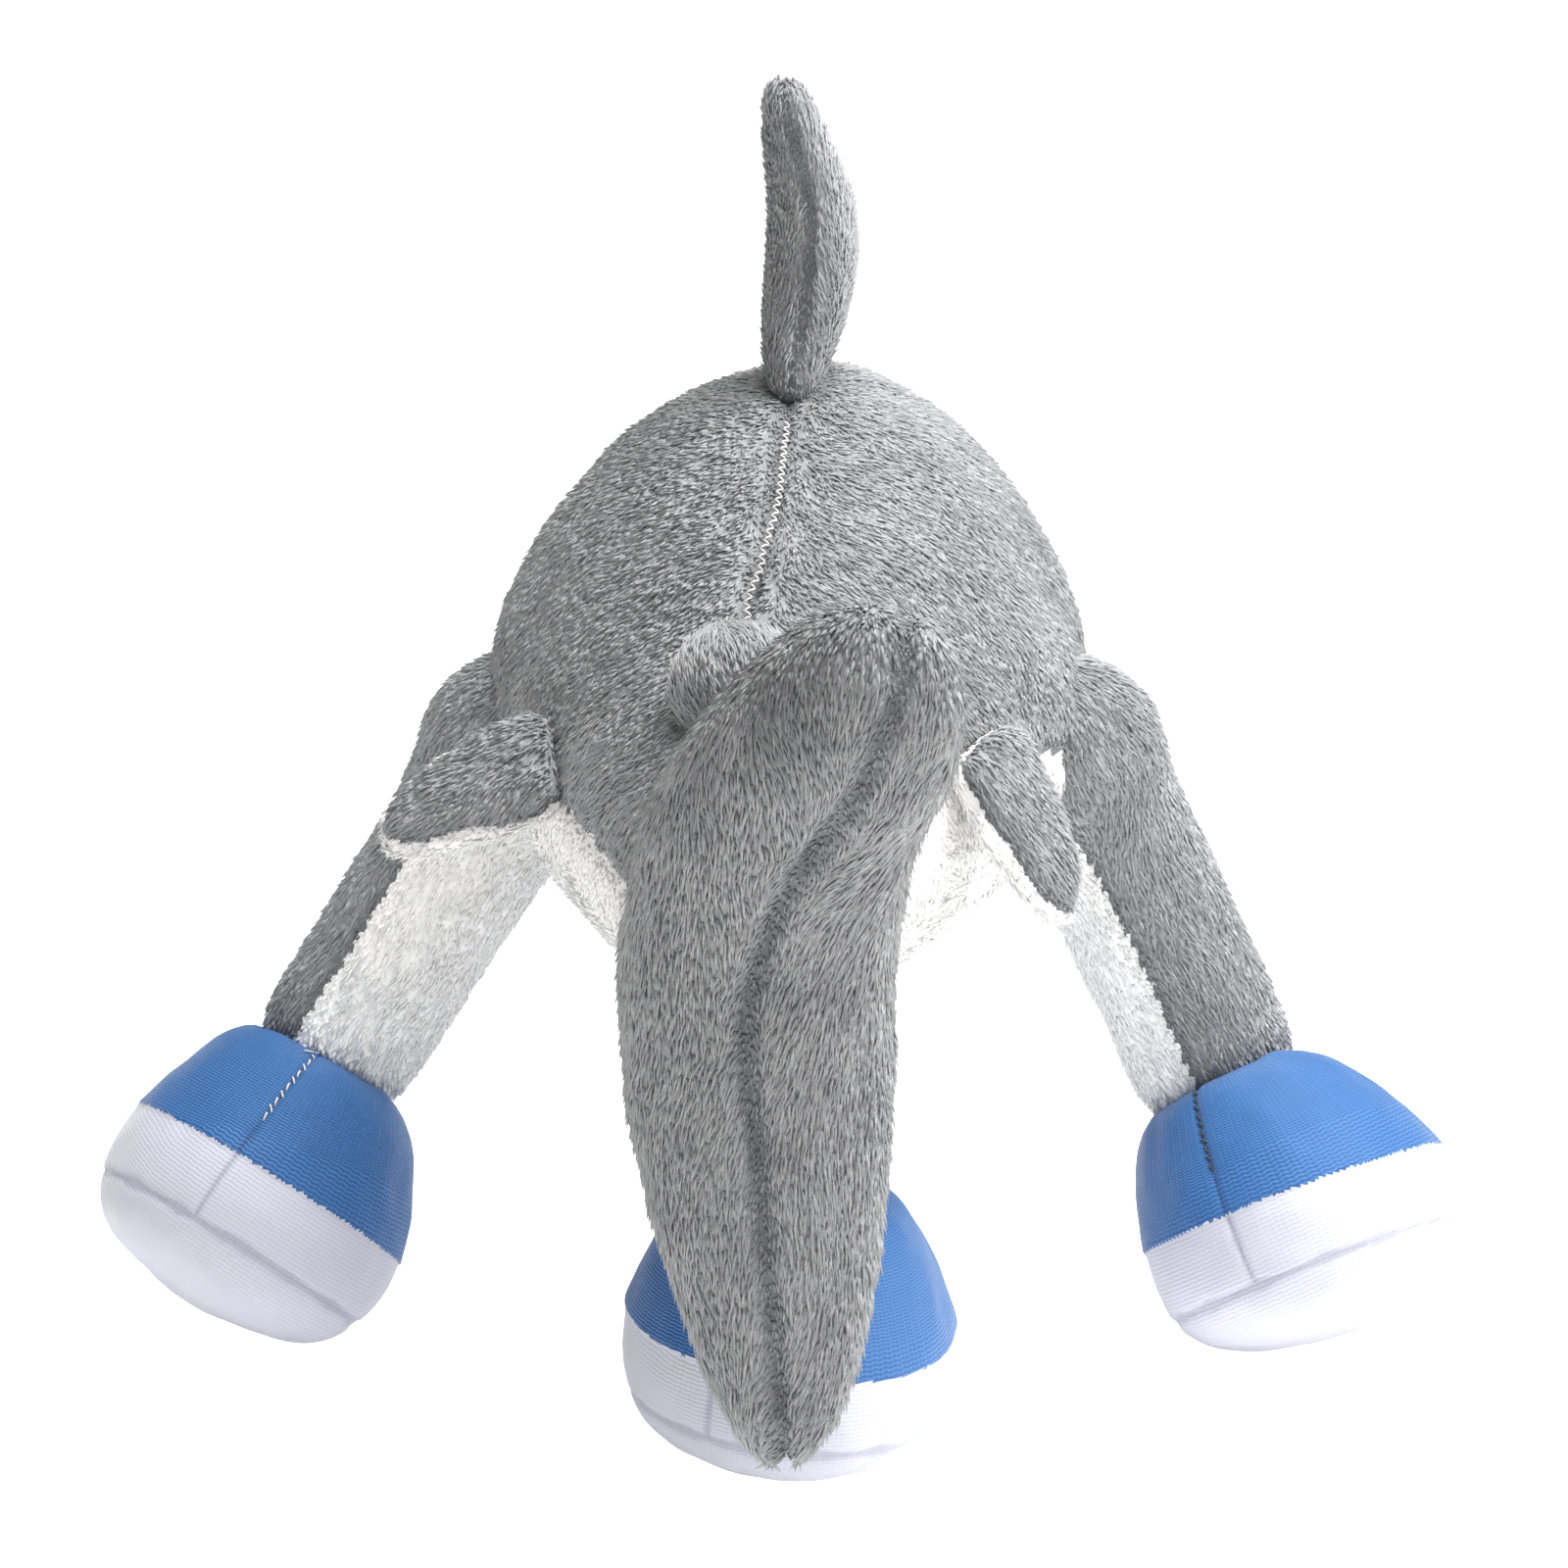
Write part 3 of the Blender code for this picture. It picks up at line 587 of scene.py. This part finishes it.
# Knit colours: painted shade in the grooves, the yarn itself, and painted shade in the seam creases
blueKnit = knitMaterial(
    "blueKnit", (0.007, 0.055, 0.19), (0.028, 0.15, 0.40), (0.004, 0.02, 0.08), 0.3, 0.5
)
whiteKnit = knitMaterial(
    "whiteKnit", (0.47, 0.47, 0.54), (0.57, 0.57, 0.64), (0.16, 0.17, 0.24), 0.2, 0.25
)
paleThread = threadMaterial("paleThread", (0.45, 0.44, 0.42), (0.80, 0.79, 0.76))
darkThread = threadMaterial("darkThread", (0.012, 0.013, 0.016), (0.06, 0.06, 0.065))
blueThread = threadMaterial("blueThread", (0.01, 0.10, 0.34), (0.05, 0.27, 0.66))
eyePlastic = plasticMaterial("eyePlastic", (0.006, 0.006, 0.008), 0.06)
washerPlastic = plasticMaterial("washerPlastic", (0.5, 0.5, 0.5), 0.4)
combedPile = pileTree()
sewnLine = stitchTree()
tuft = tuftShape()
stitch = stitchShape()


ripples = ((0.022, 1.0), (0.007, 0.7))  # size and share of the wanderings in the nap
seamPullAndShade = 0.6  # how much shorter the pile is in a seam, and how much darker it is painted there as shade
dips = {  # how deep and how wide the cloth dips at its seams
    "body": {"depth": 0.0013, "width": 0.0018},
    "limb": {"depth": 0.0008, "width": 0.0014},
    "tail": {"depth": 0.0018, "width": 0.0020},
    "backFin": {"depth": 0.0006, "width": 0.0012},
    "shoe": {"depth": 0.0005, "width": 0.0008},
}
waves = {  # size and height of the unevenness of each filling
    "body": ((0.045, 0.0016), (0.016, 0.0007)),
    "limb": ((0.02, 0.0006), (0.009, 0.0003)),
    "tail": ((0.03, 0.0010), (0.012, 0.0005)),
    "shoe": ((0.018, 0.0006), (0.007, 0.0003)),
}


def splitPiece(skin, side, name, keepPositive):
    # The faces on one side of the seam, as a piece of its own
    shape = bmesh.new()
    shape.from_mesh(skin.data)
    shape.verts.ensure_lookup_table()
    gone = []
    for face in shape.faces:
        middle = sum(side[vert.index] for vert in face.verts) / len(face.verts)
        if (middle > 0) != keepPositive:
            gone.append(face)
    bmesh.ops.delete(shape, geom=gone, context="FACES")
    mesh = meshFrom(shape, name)
    mesh.shade_smooth()
    return newPiece(name, mesh)


def comb(mesh, direction, swirl, seed):
    # The nap lies in the cloth along one direction, with slow wanderings
    points, outward = coordinates(mesh), normals(mesh)
    flow = direction(points)
    for size, share in ripples:
        wander = [lumps(points, size, seed + shift) for shift in (0, 5, 9)]
        flow = flow + swirl * share * np.stack(wander, axis=1)
    flow -= outward * np.sum(flow * outward, axis=1, keepdims=True)
    storeValues(mesh, "nap", unit(flow), "FLOAT_VECTOR")
    # The bare cloth between the tufts gets the painted shade of a tuft's root
    storeValues(mesh, "tip", np.full(len(points), 0.12))
    storeValues(mesh, "shade", np.full(len(points), 0.5))


def furnish(piece, pile, material):
    density = pile["density"] * 1.0 / (mm * mm)
    return runTree(piece, combedPile, {
        "Tuft": tuft, "Density": density, "Length": pile["length"] * mm,
        "Width": pile["width"] * mm, "Lean": pile["lean"], "Tangle": pile["tangle"],
        "Seed": pile["seed"], "Plush": material,
    })


def grooved(skin, seams, depth, width):
    # The cloth dips into each seam, where its pile is pulled short and darkened with painted shade
    points = coordinates(skin.data)
    inward = np.zeros(len(points))
    for seam in seams:
        inward = np.maximum(inward, np.exp(-(seam / width) ** 2))
    setCoordinates(skin.data, points - normals(skin.data) * (depth * inward)[:, None])
    storeValues(skin.data, "grow", 1.0 - seamPullAndShade * inward)


def unevened(skin, seed, sizes):
    points = coordinates(skin.data)
    lift = sum(amount * lumps(points, size, seed) for size, amount in sizes)
    setCoordinates(skin.data, points + normals(skin.data) * lift[:, None])


def finishPiece(piece, body, fill, slotName, *nodes):
    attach(piece, body)
    if nodes:
        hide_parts(*nodes)


def steady(vector):
    return lambda points: np.tile(np.array(vector, float), (len(points), 1))


def sewLine(name, skin, path, body, sewing, material):
    # Stitches along a path laid on the skin
    tree = BVHTree.FromObject(skin, bpy.context.evaluated_depsgraph_get())
    places, outs = [], []
    for point in path:
        place, out = tree.find_nearest(Vector(point))[:2]
        places.append(place + out * sewing["lift"] * mm)
        outs.append(out)
    mesh = bpy.data.meshes.new(name)
    mesh.from_pydata(places, [(i, i + 1) for i in range(len(places) - 1)], [])
    storeValues(mesh, "out", outs, "FLOAT_VECTOR")
    piece = newPiece(name, mesh)
    runTree(piece, sewnLine, {
        "Stitch": stitch, "Pitch": sewing["pitch"] * mm,
        "Size": [sewing["thick"] * mm, sewing["long"] * mm, sewing["thick"] * mm],
        "Turn": sewing["turn"], "Swap": sewing["swap"], "Thread": material,
    })
    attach(piece, body)
    return piece


torso = {
    "shift": (0.2, -8.0, 0.0),
    "rows": (  # y, centre z, half width, height above and below, in millimetres
        (-150, 137, 5.5, 5.5, 5.5), (-146, 137, 15, 14, 12), (-133, 137.5, 27, 25, 22),
        (-106, 139, 42, 40, 36), (-68, 140, 55, 54, 49), (-20, 138.7, 62.5, 58.5, 56),
        (18, 134.5, 57.5, 52.5, 53), (55, 129.3, 41, 36, 40), (80, 126.2, 29, 26, 29),
        (95, 124, 22, 22, 23), (104, 123, 15, 16, 17), (109, 122.5, 7, 8, 9),
    ),
    "crown": 0.17, "roll": 8.0, "rollFrom": 25.0, "rollTo": 68.0, "sides": 24,
    "grow": 0.4, "voxel": 4.0, "pressure": 4.0, "swell": 2.4,
}
bodyPile = {"density": 1.5, "length": 2.9, "width": 0.72, "lean": 0.2, "tangle": 0.3, "seed": 4}
bellyPile = {"density": 0.9, "length": 2.9, "width": 0.8, "lean": 0.1, "tangle": 0.3, "seed": 6}


def torsoSkin():
    shape = bmesh.new()
    rings = []
    for y, z, wide, above, below in torso["rows"]:
        share = min(max((y - torso["rollFrom"]) / (torso["rollTo"] - torso["rollFrom"]), 0.0), 1.0)
        roll = math.radians(torso["roll"]) * share * share * (3 - 2 * share)
        ring = []
        for step in range(torso["sides"]):
            turn = step * 2 * math.pi / torso["sides"] - roll
            up = math.sin(turn)
            side = wide * math.cos(turn) * (1 - torso["crown"] * max(up, 0.0))
            place = Vector((side, y, z + up * (above if up > 0 else below)))
            ring.append(shape.verts.new((place + Vector(torso["shift"])) * mm))
        rings.append(ring)
    closeRings(shape, rings)
    skin = subdivided(newPiece("torsoSkin", meshFrom(shape, "torsoSkin")), 1)
    grown(skin, torso["grow"] * mm)
    remeshed(skin, torso["voxel"] * mm)
    relax(skin.data, 4)
    swollen(skin, torso["pressure"], torso["swell"] * mm)
    relax(skin.data, 2)
    return subdivided(skin, 1)


def bodyFlow(points):
    # Out from the spine and down the sides, drifting back towards the tail
    flow = np.zeros_like(points)
    flow[:, 0] = np.clip(points[:, 0] * 45.0, -1.0, 1.0)
    flow[:, 1] = 0.45
    flow[:, 2] = -0.5
    return flow


print("body")
skin = torsoSkin()
grey = ["back_left_panel", "back_right_panel"]
points = coordinates(skin.data)
side = seamDistance(points, grey, ["belly_panel"])
spine = seamDistance(points, ["back_left_panel"], ["back_right_panel"])
spine = np.where(side > 0, np.abs(spine), 1.0)
unevened(skin, 3, waves["body"])
grooved(skin, (np.abs(side), spine), **dips["body"])
bodySkin = skin
for name, positive, pile, material, slotName, nodes in (
    ("backCloth", True, bodyPile, greyPlush, "grey_plush", grey),
    ("bellyCloth", False, bellyPile, whitePlush, "white_plush", ["belly_panel", "body_filling"]),
):
    piece = splitPiece(skin, side, name, positive)
    comb(piece.data, bodyFlow, 0.5, 2)
    furnish(piece, pile, material)
    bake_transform(piece)
    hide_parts(*nodes)


limbs = (
    # name, body, filling, first cloth, second cloth, way the nap runs
    ("leftFrontLeg", "left_front_leg", "left_front_leg_filling", "left_front_leg_outer_panel",
     "left_front_leg_inner_panel", (0.55, 0.1, -1.0)),
    ("rightFrontLeg", "right_front_leg", "right_front_leg_filling", "right_front_leg_outer_panel",
     "right_front_leg_inner_panel", (-0.5, 0.1, -1.0)),
    ("rearLeg", "rear_leg", "rear_leg_filling", "rear_leg_outer_panel",
     "rear_leg_inner_panel", (0.0, 0.15, -1.0)),
    ("leftSideFin", "left_side_fin", "left_side_fin_filling", "left_side_fin_upper_panel",
     "left_side_fin_lower_panel", (0.68, 0.4, -0.62)),
    ("rightSideFin", "right_side_fin", "right_side_fin_filling", "right_side_fin_upper_panel",
     "right_side_fin_lower_panel", (-0.52, 0.05, -0.85)),
)
limbPile = {"density": 1.4, "length": 2.9, "width": 0.72, "lean": 0.2, "tangle": 0.25, "seed": 8}
innerPile = {"density": 1.0, "length": 2.9, "width": 0.75, "lean": 0.18, "tangle": 0.25, "seed": 9}
legForm = {"voxel": 3.0, "swell": 1.2, "grow": 2.6, "rounding": 3, "pressure": 4.0}
finForm = {"voxel": 2.2, "swell": 0.8, "grow": 2.6, "rounding": 3, "pressure": 4.0}
tailForm = {"voxel": 3.0, "swell": 1.5, "grow": 2.6, "rounding": 3, "pressure": 4.0}
smallForm = {"voxel": 1.8, "swell": 0.6, "grow": 1.8, "rounding": 3, "pressure": 4.0}
finMargin = {"width": 2.0, "root": 9.0}  # white cloth turned up round the fin, fading at its root
legCap = 4.0  # how far below the hip a leg is grey all round


def limbSkin(filling, form):
    skin = grown(nodeCopy(filling, filling + "Skin"), form["grow"] * mm)
    remeshed(skin, form["voxel"] * mm)
    relax(skin.data, form["rounding"])
    swollen(skin, form["pressure"], form["swell"] * mm)
    relax(skin.data, 1)
    return subdivided(skin, 1)


print("legs and side fins")
for seed, (name, body, filling, first, second, way) in enumerate(limbs):
    fin = name.endswith("Fin")
    skin = limbSkin(filling, finForm if fin else legForm)
    side = seamDistance(coordinates(skin.data), [first], [second])
    if fin:
        root = np.array(joints[body + "_flap"]["pos_m"])
        away = np.linalg.norm(coordinates(skin.data) - root, axis=1) / mm
        fade = np.clip((away - finMargin["root"]) / finMargin["root"], 0.0, 1.0)
        side -= finMargin["width"] * mm * fade
    else:
        shoulder = joints[body + "_swing"]["pos_m"][2] - legCap * mm
        side = np.maximum(side, coordinates(skin.data)[:, 2] - shoulder)
    unevened(skin, 10 + seed, waves["limb"])
    grooved(skin, (np.abs(side),), **dips["limb"])
    for ending, positive, pile, material, slotName, nodes in (
        ("Outer", True, limbPile, greyPlush, "grey_plush", [first]),
        ("Inner", False, innerPile, whitePlush, "white_plush", [second, filling]),
    ):
        piece = splitPiece(skin, side, name + ending, positive)
        comb(piece.data, steady(way), 0.45, 20 + seed)
        furnish(piece, pile, material)
        finishPiece(piece, body, 0.8, slotName, *nodes)
    bpy.data.objects.remove(skin)


tailPile = {"density": 1.4, "length": 3.4, "width": 0.75, "lean": 0.2, "tangle": 0.2, "seed": 12}
tailTop = {"from": 40.0, "lift": 4.0}  # how far down the plumper top reaches, and how much it rises
finPile = {"density": 1.4, "length": 2.8, "width": 0.72, "lean": 0.2, "tangle": 0.22, "seed": 14}
smallFin = {"wider": 0.5, "rise": (-5.0, 0.5, 5.0)}  # how much wider and higher its rolled top is


def tailFlow(points):
    # Down from the upper tip, and out from the middle seam
    flow = np.zeros_like(points)
    flow[:, 0] = 0.25 + points[:, 0] * 12.0
    flow[:, 1] = 0.55
    flow[:, 2] = -1.0
    return flow


print("tail and back fins")
skin = limbSkin("tail_filling", tailForm)
side = seamDistance(coordinates(skin.data), ["tail_left_panel"], ["tail_right_panel"])
points = coordinates(skin.data)
plump = np.clip((points[:, 2] - points[:, 2].max()) / tailTop["from"] / mm + 1.0, 0.0, 1.0) ** 2
points[:, 2] += plump * tailTop["lift"] * mm
setCoordinates(skin.data, points)
unevened(skin, 30, waves["tail"])
grooved(skin, (side,), **dips["tail"])
for name, positive, nodes in (
    ("tailLeft", True, ["tail_left_panel", "tail_filling"]), ("tailRight", False, ["tail_right_panel"]),
):
    piece = splitPiece(skin, side, name, positive)
    comb(piece.data, tailFlow, 0.4, 31)
    furnish(piece, tailPile, greyPlush)
    finishPiece(piece, "tail", 0.85, "grey_plush", *nodes)
bpy.data.objects.remove(skin)
skin = limbSkin("dorsal_fin_filling", finForm)
side = seamDistance(coordinates(skin.data), ["dorsal_fin_left_panel"], ["dorsal_fin_right_panel"])
grooved(skin, (side,), **dips["backFin"])
for name, positive, nodes in (
    ("backFinLeft", True, ["dorsal_fin_left_panel", "dorsal_fin_filling"]),
    ("backFinRight", False, ["dorsal_fin_right_panel"]),
):
    piece = splitPiece(skin, side, name, positive)
    comb(piece.data, steady((0.0, 0.55, 0.8)), 0.3, 33)
    furnish(piece, finPile, greyPlush)
    finishPiece(piece, "dorsal_fin", 0.7, "grey_plush", *nodes)
bpy.data.objects.remove(skin)
skin = limbSkin("small_fin", smallForm)
mesh = skin.data
mesh.shade_smooth()
points = coordinates(mesh)
low, high = points.min(axis=0), points.max(axis=0)
rise = (points[:, 2] - low[2]) / (high[2] - low[2])
wider = (points - (low + high) / 2) * smallFin["wider"] * rise[:, None]
points[:, :2] += wider[:, :2]
points += rise[:, None] * np.array(smallFin["rise"]) * mm
setCoordinates(mesh, points)
storeValues(mesh, "grow", np.ones(len(mesh.vertices)))
comb(mesh, steady((0.1, -0.2, 1.0)), 0.3, 35)
furnish(skin, finPile, greyPlush)
skin.name = "smallFin"
finishPiece(skin, "small_fin", 0.7, "grey_plush", "small_fin")


shoe = {
    "voxel": 3.0, "swell": 1.0, "grow": 4.0, "rounding": 24, "pressure": 4.0,
    "columns": 170, "row": 0.85, "radius": 31.0,
    "heel": {"left_front": 20.0, "right_front": -16.0, "rear": 0.0},  # degrees the heel seam is turned
    "floorGap": 0.2, "sink": 12.0,  # how high the sole stays, and how far up the shoe follows it
    # painted shade in the seam creases: how dark it is, and how wide
    "creaseShade": 0.5, "creaseWidth": 0.0005,
    "lip": 0.0005, "lipEdge": 0.0006, "lipFade": 0.004,  # the blue knit stands a little proud
}
shoeTitles = {"left_front": "leftFront", "right_front": "rightFront", "rear": "rear"}


def middleOf(node):
    low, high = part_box(node)
    return (low + high) / 2


def settled(skin):
    # The sole comes down to the floor, the rest of the shoe following less and less
    points = coordinates(skin.data)
    gap = points[:, 2].min() - shoe["floorGap"] * mm
    points[:, 2] -= gap * np.exp(-(points[:, 2] - points[:, 2].min()) / (shoe["sink"] * mm))
    setCoordinates(skin.data, points)


def knitCoordinates(piece, centre, sideways, up, lower):
    # U counts columns round the shoe and V counts rows down it, and on under the sole
    back = up.cross(sideways)
    axes = np.array([sideways, back, up])
    mesh = piece.data
    local = (coordinates(mesh) - np.array(centre)) @ axes.T
    angle = np.arctan2(local[:, 1], local[:, 0])
    reach = np.hypot(local[:, 0], local[:, 1])
    radius = shoe["radius"] * mm
    inset = np.minimum(reach, radius)
    down = ((2 * radius - inset if lower else inset) - local[:, 2]) / (shoe["row"] * mm)
    layer = mesh.uv_layers.new(name="knit")
    corners = np.empty(len(mesh.loops), np.int64)
    mesh.loops.foreach_get("vertex_index", corners)
    starts = np.empty(len(mesh.polygons), np.int64)
    totals = np.empty(len(mesh.polygons), np.int64)
    mesh.polygons.foreach_get("loop_start", starts)
    mesh.polygons.foreach_get("loop_total", totals)
    leader = np.repeat(angle[corners[starts]], totals)
    turn = angle[corners]
    turn = leader + (turn - leader + math.pi) % (2 * math.pi) - math.pi
    places = np.stack([turn / (2 * math.pi) * shoe["columns"], down[corners]], axis=1)
    layer.data.foreach_set("uv", places.astype(np.float32).ravel())


print("shoes")
shoeSkins = {}
for seed, place in enumerate(shoePlaces):
    upper, band, sole = [place + ending for ending in ("_shoe_upper", "_shoe_band", "_shoe_sole")]
    filling = place + "_shoe_filling"
    skin = limbSkin(filling, shoe)
    subdivided(skin, 1)
    settled(skin)
    points = coordinates(skin.data)
    side = seamDistance(points, [upper], [band, sole])
    lower = seamDistance(points, [upper, band], [sole])
    joint = joints[place + "_ankle_tilt"]
    centre, sideways = Vector(joint["pos_m"]), Vector(joint["axis"]).normalized()
    up = (middleOf(upper) - middleOf(sole)).normalized()
    up = (up - sideways * up.dot(sideways)).normalized()
    sideways *= math.copysign(1.0, sideways.x)
    back = up.cross(sideways)
    back *= math.copysign(1.0, back.y)
    turn = math.radians(shoe["heel"][place])
    heelWay = back * math.cos(turn) + sideways * math.sin(turn)
    across = up.cross(heelWay)
    local = (points - np.array(centre)) @ np.array([across, heelWay, up]).T
    heel = np.where((local[:, 1] > 0) & (lower > 0), np.abs(local[:, 0]), 1.0)
    unevened(skin, 40 + seed, waves["shoe"])
    grooved(skin, (np.abs(lower), heel), **dips["shoe"])
    # Painted shade in the creases along the sole seam and up the heel seam
    sewn = np.minimum(np.abs(lower), heel)
    storeValues(skin.data, "creaseShade", shoe["creaseShade"] * np.exp(-(sewn / shoe["creaseWidth"]) ** 2))
    points = coordinates(skin.data)
    step = shoe["lip"] * np.clip(side / shoe["lipEdge"] + 0.5, 0.0, 1.0)
    step *= np.exp(-np.maximum(side, 0) / shoe["lipFade"])
    setCoordinates(skin.data, points + normals(skin.data) * step[:, None])
    points = coordinates(skin.data)
    points[:, 2] = np.maximum(points[:, 2], shoe["floorGap"] * mm)
    setCoordinates(skin.data, points)
    for ending, positive, material, slotName, nodes in (
        ("ShoeUpper", True, blueKnit, "blue_knit", [upper]),
        ("ShoeLower", False, whiteKnit, "white_knit", [band, sole, filling]),
    ):
        piece = splitPiece(skin, side, shoeTitles[place] + ending, positive)
        knitCoordinates(piece, centre, sideways, up, not positive)
        piece.data.materials.append(material)
        finishPiece(piece, place + "_shoe", 0.75, slotName, *nodes)
    shoeSkins[place] = (skin, centre, heelWay, up)


print("stitches")
backSewing = {"pitch": 1.3, "long": 1.8, "thick": 0.42, "lift": 1.5, "turn": 0.85, "swap": 2.0}
heelSewing = {"pitch": 1.9, "long": 2.0, "thick": 0.45, "lift": 0.25, "turn": 0.8, "swap": 0.7}
endSewing = {"pitch": 0.8, "long": 1.3, "thick": 0.34, "lift": 0.5, "turn": 0.1, "swap": 2.0}
outside = 0.3  # a distance that is well clear of the toy
faceSewing = {"pitch": 2.0, "long": 2.3, "thick": 0.75, "lift": 2.2, "turn": 0.0, "swap": 0.0}


def onSkin(skin, starts, ways):
    # Where each line out of its start leaves the skin, found from outside inwards
    tree = BVHTree.FromObject(skin, bpy.context.evaluated_depsgraph_get())
    hits = []
    for start, way in zip(starts, ways):
        way = Vector(way).normalized()
        hits.append(tree.ray_cast(Vector(start) + way * outside, -way)[0])
    return [hit for hit in hits if hit is not None]


threadPoints = coordinates(frame["nodes"]["back_seam_thread"].data)
first, last = threadPoints[:, 1].min(), threadPoints[:, 1].max()
starts = []
for step in np.linspace(first - 4 * mm, last + 9 * mm, 40):
    level = min(max(step, first + 2 * mm), last - 2 * mm)
    near = threadPoints[np.abs(threadPoints[:, 1] - level) < 6 * mm]
    starts.append((near[:, 0].mean(), step, near[:, 2].mean() - 20 * mm))
backPath = onSkin(bodySkin, starts, [(0, 0, 1)] * len(starts))
line = sewLine("backSeamStitches", bodySkin, backPath, "torso", backSewing, paleThread)
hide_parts("back_seam_thread")
for place, material in (("left_front", paleThread), ("right_front", darkThread)):
    skin, centre, heelWay, up = shoeSkins[place]
    starts = [centre + up * (-2 - 1.8 * step) * mm for step in range(12)]
    path = onSkin(skin, starts, [heelWay] * len(starts))
    title = shoeTitles[place].replace("Front", "HeelStitches")
    sewLine(title, skin, path, place + "_shoe", heelSewing, material)

print("loose thread ends at the left ankle")
skin, centre, heelWay, up = shoeSkins["left_front"]
across = up.cross(heelWay)
for name, material, sway, twist in (
    ("looseWhiteEnd", paleThread, 3.2, 5.0), ("looseBlueEnd", blueThread, 4.5, 3.1),
):
    starts, ways = [], []
    for step in range(22):
        turn = step / 21 * twist
        starts.append(centre + up * (-1.0 - 0.3 * step) * mm)
        ways.append(heelWay + across * (sway * math.sin(turn * 2.1) * mm / 0.03))
    path = onSkin(skin, starts, ways)
    sewLine(name, skin, path, "left_front_shoe", endSewing, material)

print("mouth and gills")
face = {
    "middle": (0.2, -118.0, 134.0), "spread": 68, "drop": -0.42, "upturn": 0.16,
    "gillRows": (-94.0, -84.0, -74.0), "gillMiddle": 134.0,
}
start = Vector(face["middle"]) * mm
ways = []
for step in range(25):
    turn = math.radians(-face["spread"] + 2 * face["spread"] * step / 24)
    rise = face["drop"] + face["upturn"] * abs(math.sin(turn))
    ways.append((math.sin(turn), -math.cos(turn), rise))
path = onSkin(bodySkin, [start] * len(ways), ways)
sewLine("mouthLine", bodySkin, path, "torso", faceSewing, darkThread)
for title, sign in (("left", 1.0), ("right", -1.0)):
    for number, y in enumerate(face["gillRows"]):
        ways = [(sign, 0.12, math.tan(math.radians(-4 + 3.0 * step))) for step in range(9)]
        start = Vector((0.2, y, face["gillMiddle"])) * mm
        path = onSkin(bodySkin, [start] * len(ways), ways)
        name = title + "Gill" + str(number + 1)
        sewLine(name, bodySkin, path, "torso", faceSewing, darkThread)
for helper in (*[made[0] for made in shoeSkins.values()], bodySkin, tuft, stitch):
    bpy.data.objects.remove(helper)

print("eyes")
for node, thing in frame["nodes"].items():
    if node.endswith("_eye") or node.endswith("_washer"):
        thing.data.materials.clear()
        thing.data.materials.append(eyePlastic if node.endswith("_eye") else washerPlastic)

print("floor, lights and camera")
studio = {  # glow is what lights the toy, and seen is what the camera sees on top of it
    "reach": 6.0, "floorGlow": 0.32, "floorSeen": 0.8, "worldGlow": 0.32, "worldSeen": 0.7,
    "lights": (  # name, place, size, power
        ("keyLight", (-0.3, 0.05, 1.4), 1.0, 33.0),
        ("sideLight", (-1.05, 0.2, 0.7), 0.7, 12.0),
    ),
}
view = {
    "azimuth": 183.5, "elevation": 15.0, "distance": 0.9,
    "target": (0.0002, -0.008, 0.118), "lens": 103.8, "sensor": 36.0,
}


def seenGlow(tree, seen, glow):
    # White to look at, dimmer as a light
    camera = tree.nodes.new("ShaderNodeLightPath").outputs["Is Camera Ray"]
    return math2(tree, "ADD", math2(tree, "MULTIPLY", camera, seen), glow)


floorMesh = bpy.data.meshes.new("floor")
reach = studio["reach"]
floorMesh.from_pydata(
    [(-reach, -reach, 0), (reach, -reach, 0), (reach, reach, 0), (-reach, reach, 0)], [], [(0, 1, 2, 3)]
)
floor = newPiece("floor", floorMesh)
material, tree, shader = newMaterial("paleFloor")
grain = addNode(tree, "ShaderNodeTexNoise", Scale=3.0)
tree.links.new(mixColour(tree, grain.outputs[0], (0.93, 0.93, 0.93, 1), (0.95, 0.95, 0.95, 1)),
               shader.inputs["Base Color"])
shader.inputs["Roughness"].default_value = 0.9
shader.inputs["Emission Color"].default_value = (1, 1, 1, 1)
glow = seenGlow(tree, studio["floorSeen"], studio["floorGlow"])
tree.links.new(glow, shader.inputs["Emission Strength"])
floor.data.materials.append(material)

world = bpy.data.worlds.new("studio")
scene.world = world
world.use_nodes = True
backdrop = world.node_tree.nodes["Background"]
backdrop.inputs["Color"].default_value = (1.0, 1.0, 1.0, 1.0)
glow = seenGlow(world.node_tree, studio["worldSeen"], studio["worldGlow"])
world.node_tree.links.new(glow, backdrop.inputs["Strength"])


def areaLight(name, place, target, size, power):
    light = bpy.data.lights.new(name, "AREA")
    light.shape = "DISK"
    light.size = size
    light.energy = power
    lamp = bpy.data.objects.new(name, light)
    scene.collection.objects.link(lamp)
    lamp.location = place
    lamp.rotation_euler = (Vector(place) - Vector(target)).to_track_quat("Z", "Y").to_euler()


middle = (cadBox[0] + cadBox[1]) / 2
for name, place, size, power in studio["lights"]:
    areaLight(name, place, middle, size, power)

camera = bpy.data.cameras.new("camera")
camera.lens = view["lens"]
camera.sensor_width = view["sensor"]
viewer = bpy.data.objects.new("camera", camera)
scene.collection.objects.link(viewer)
turn, rise = math.radians(view["azimuth"]), math.radians(view["elevation"])
away = Vector((math.sin(turn) * math.cos(rise), -math.cos(turn) * math.cos(rise), math.sin(rise)))
viewer.location = Vector(view["target"]) + away * view["distance"]
viewer.rotation_euler = away.to_track_quat("Z", "Y").to_euler()
scene.camera = viewer
scene.view_settings.view_transform = "Standard"
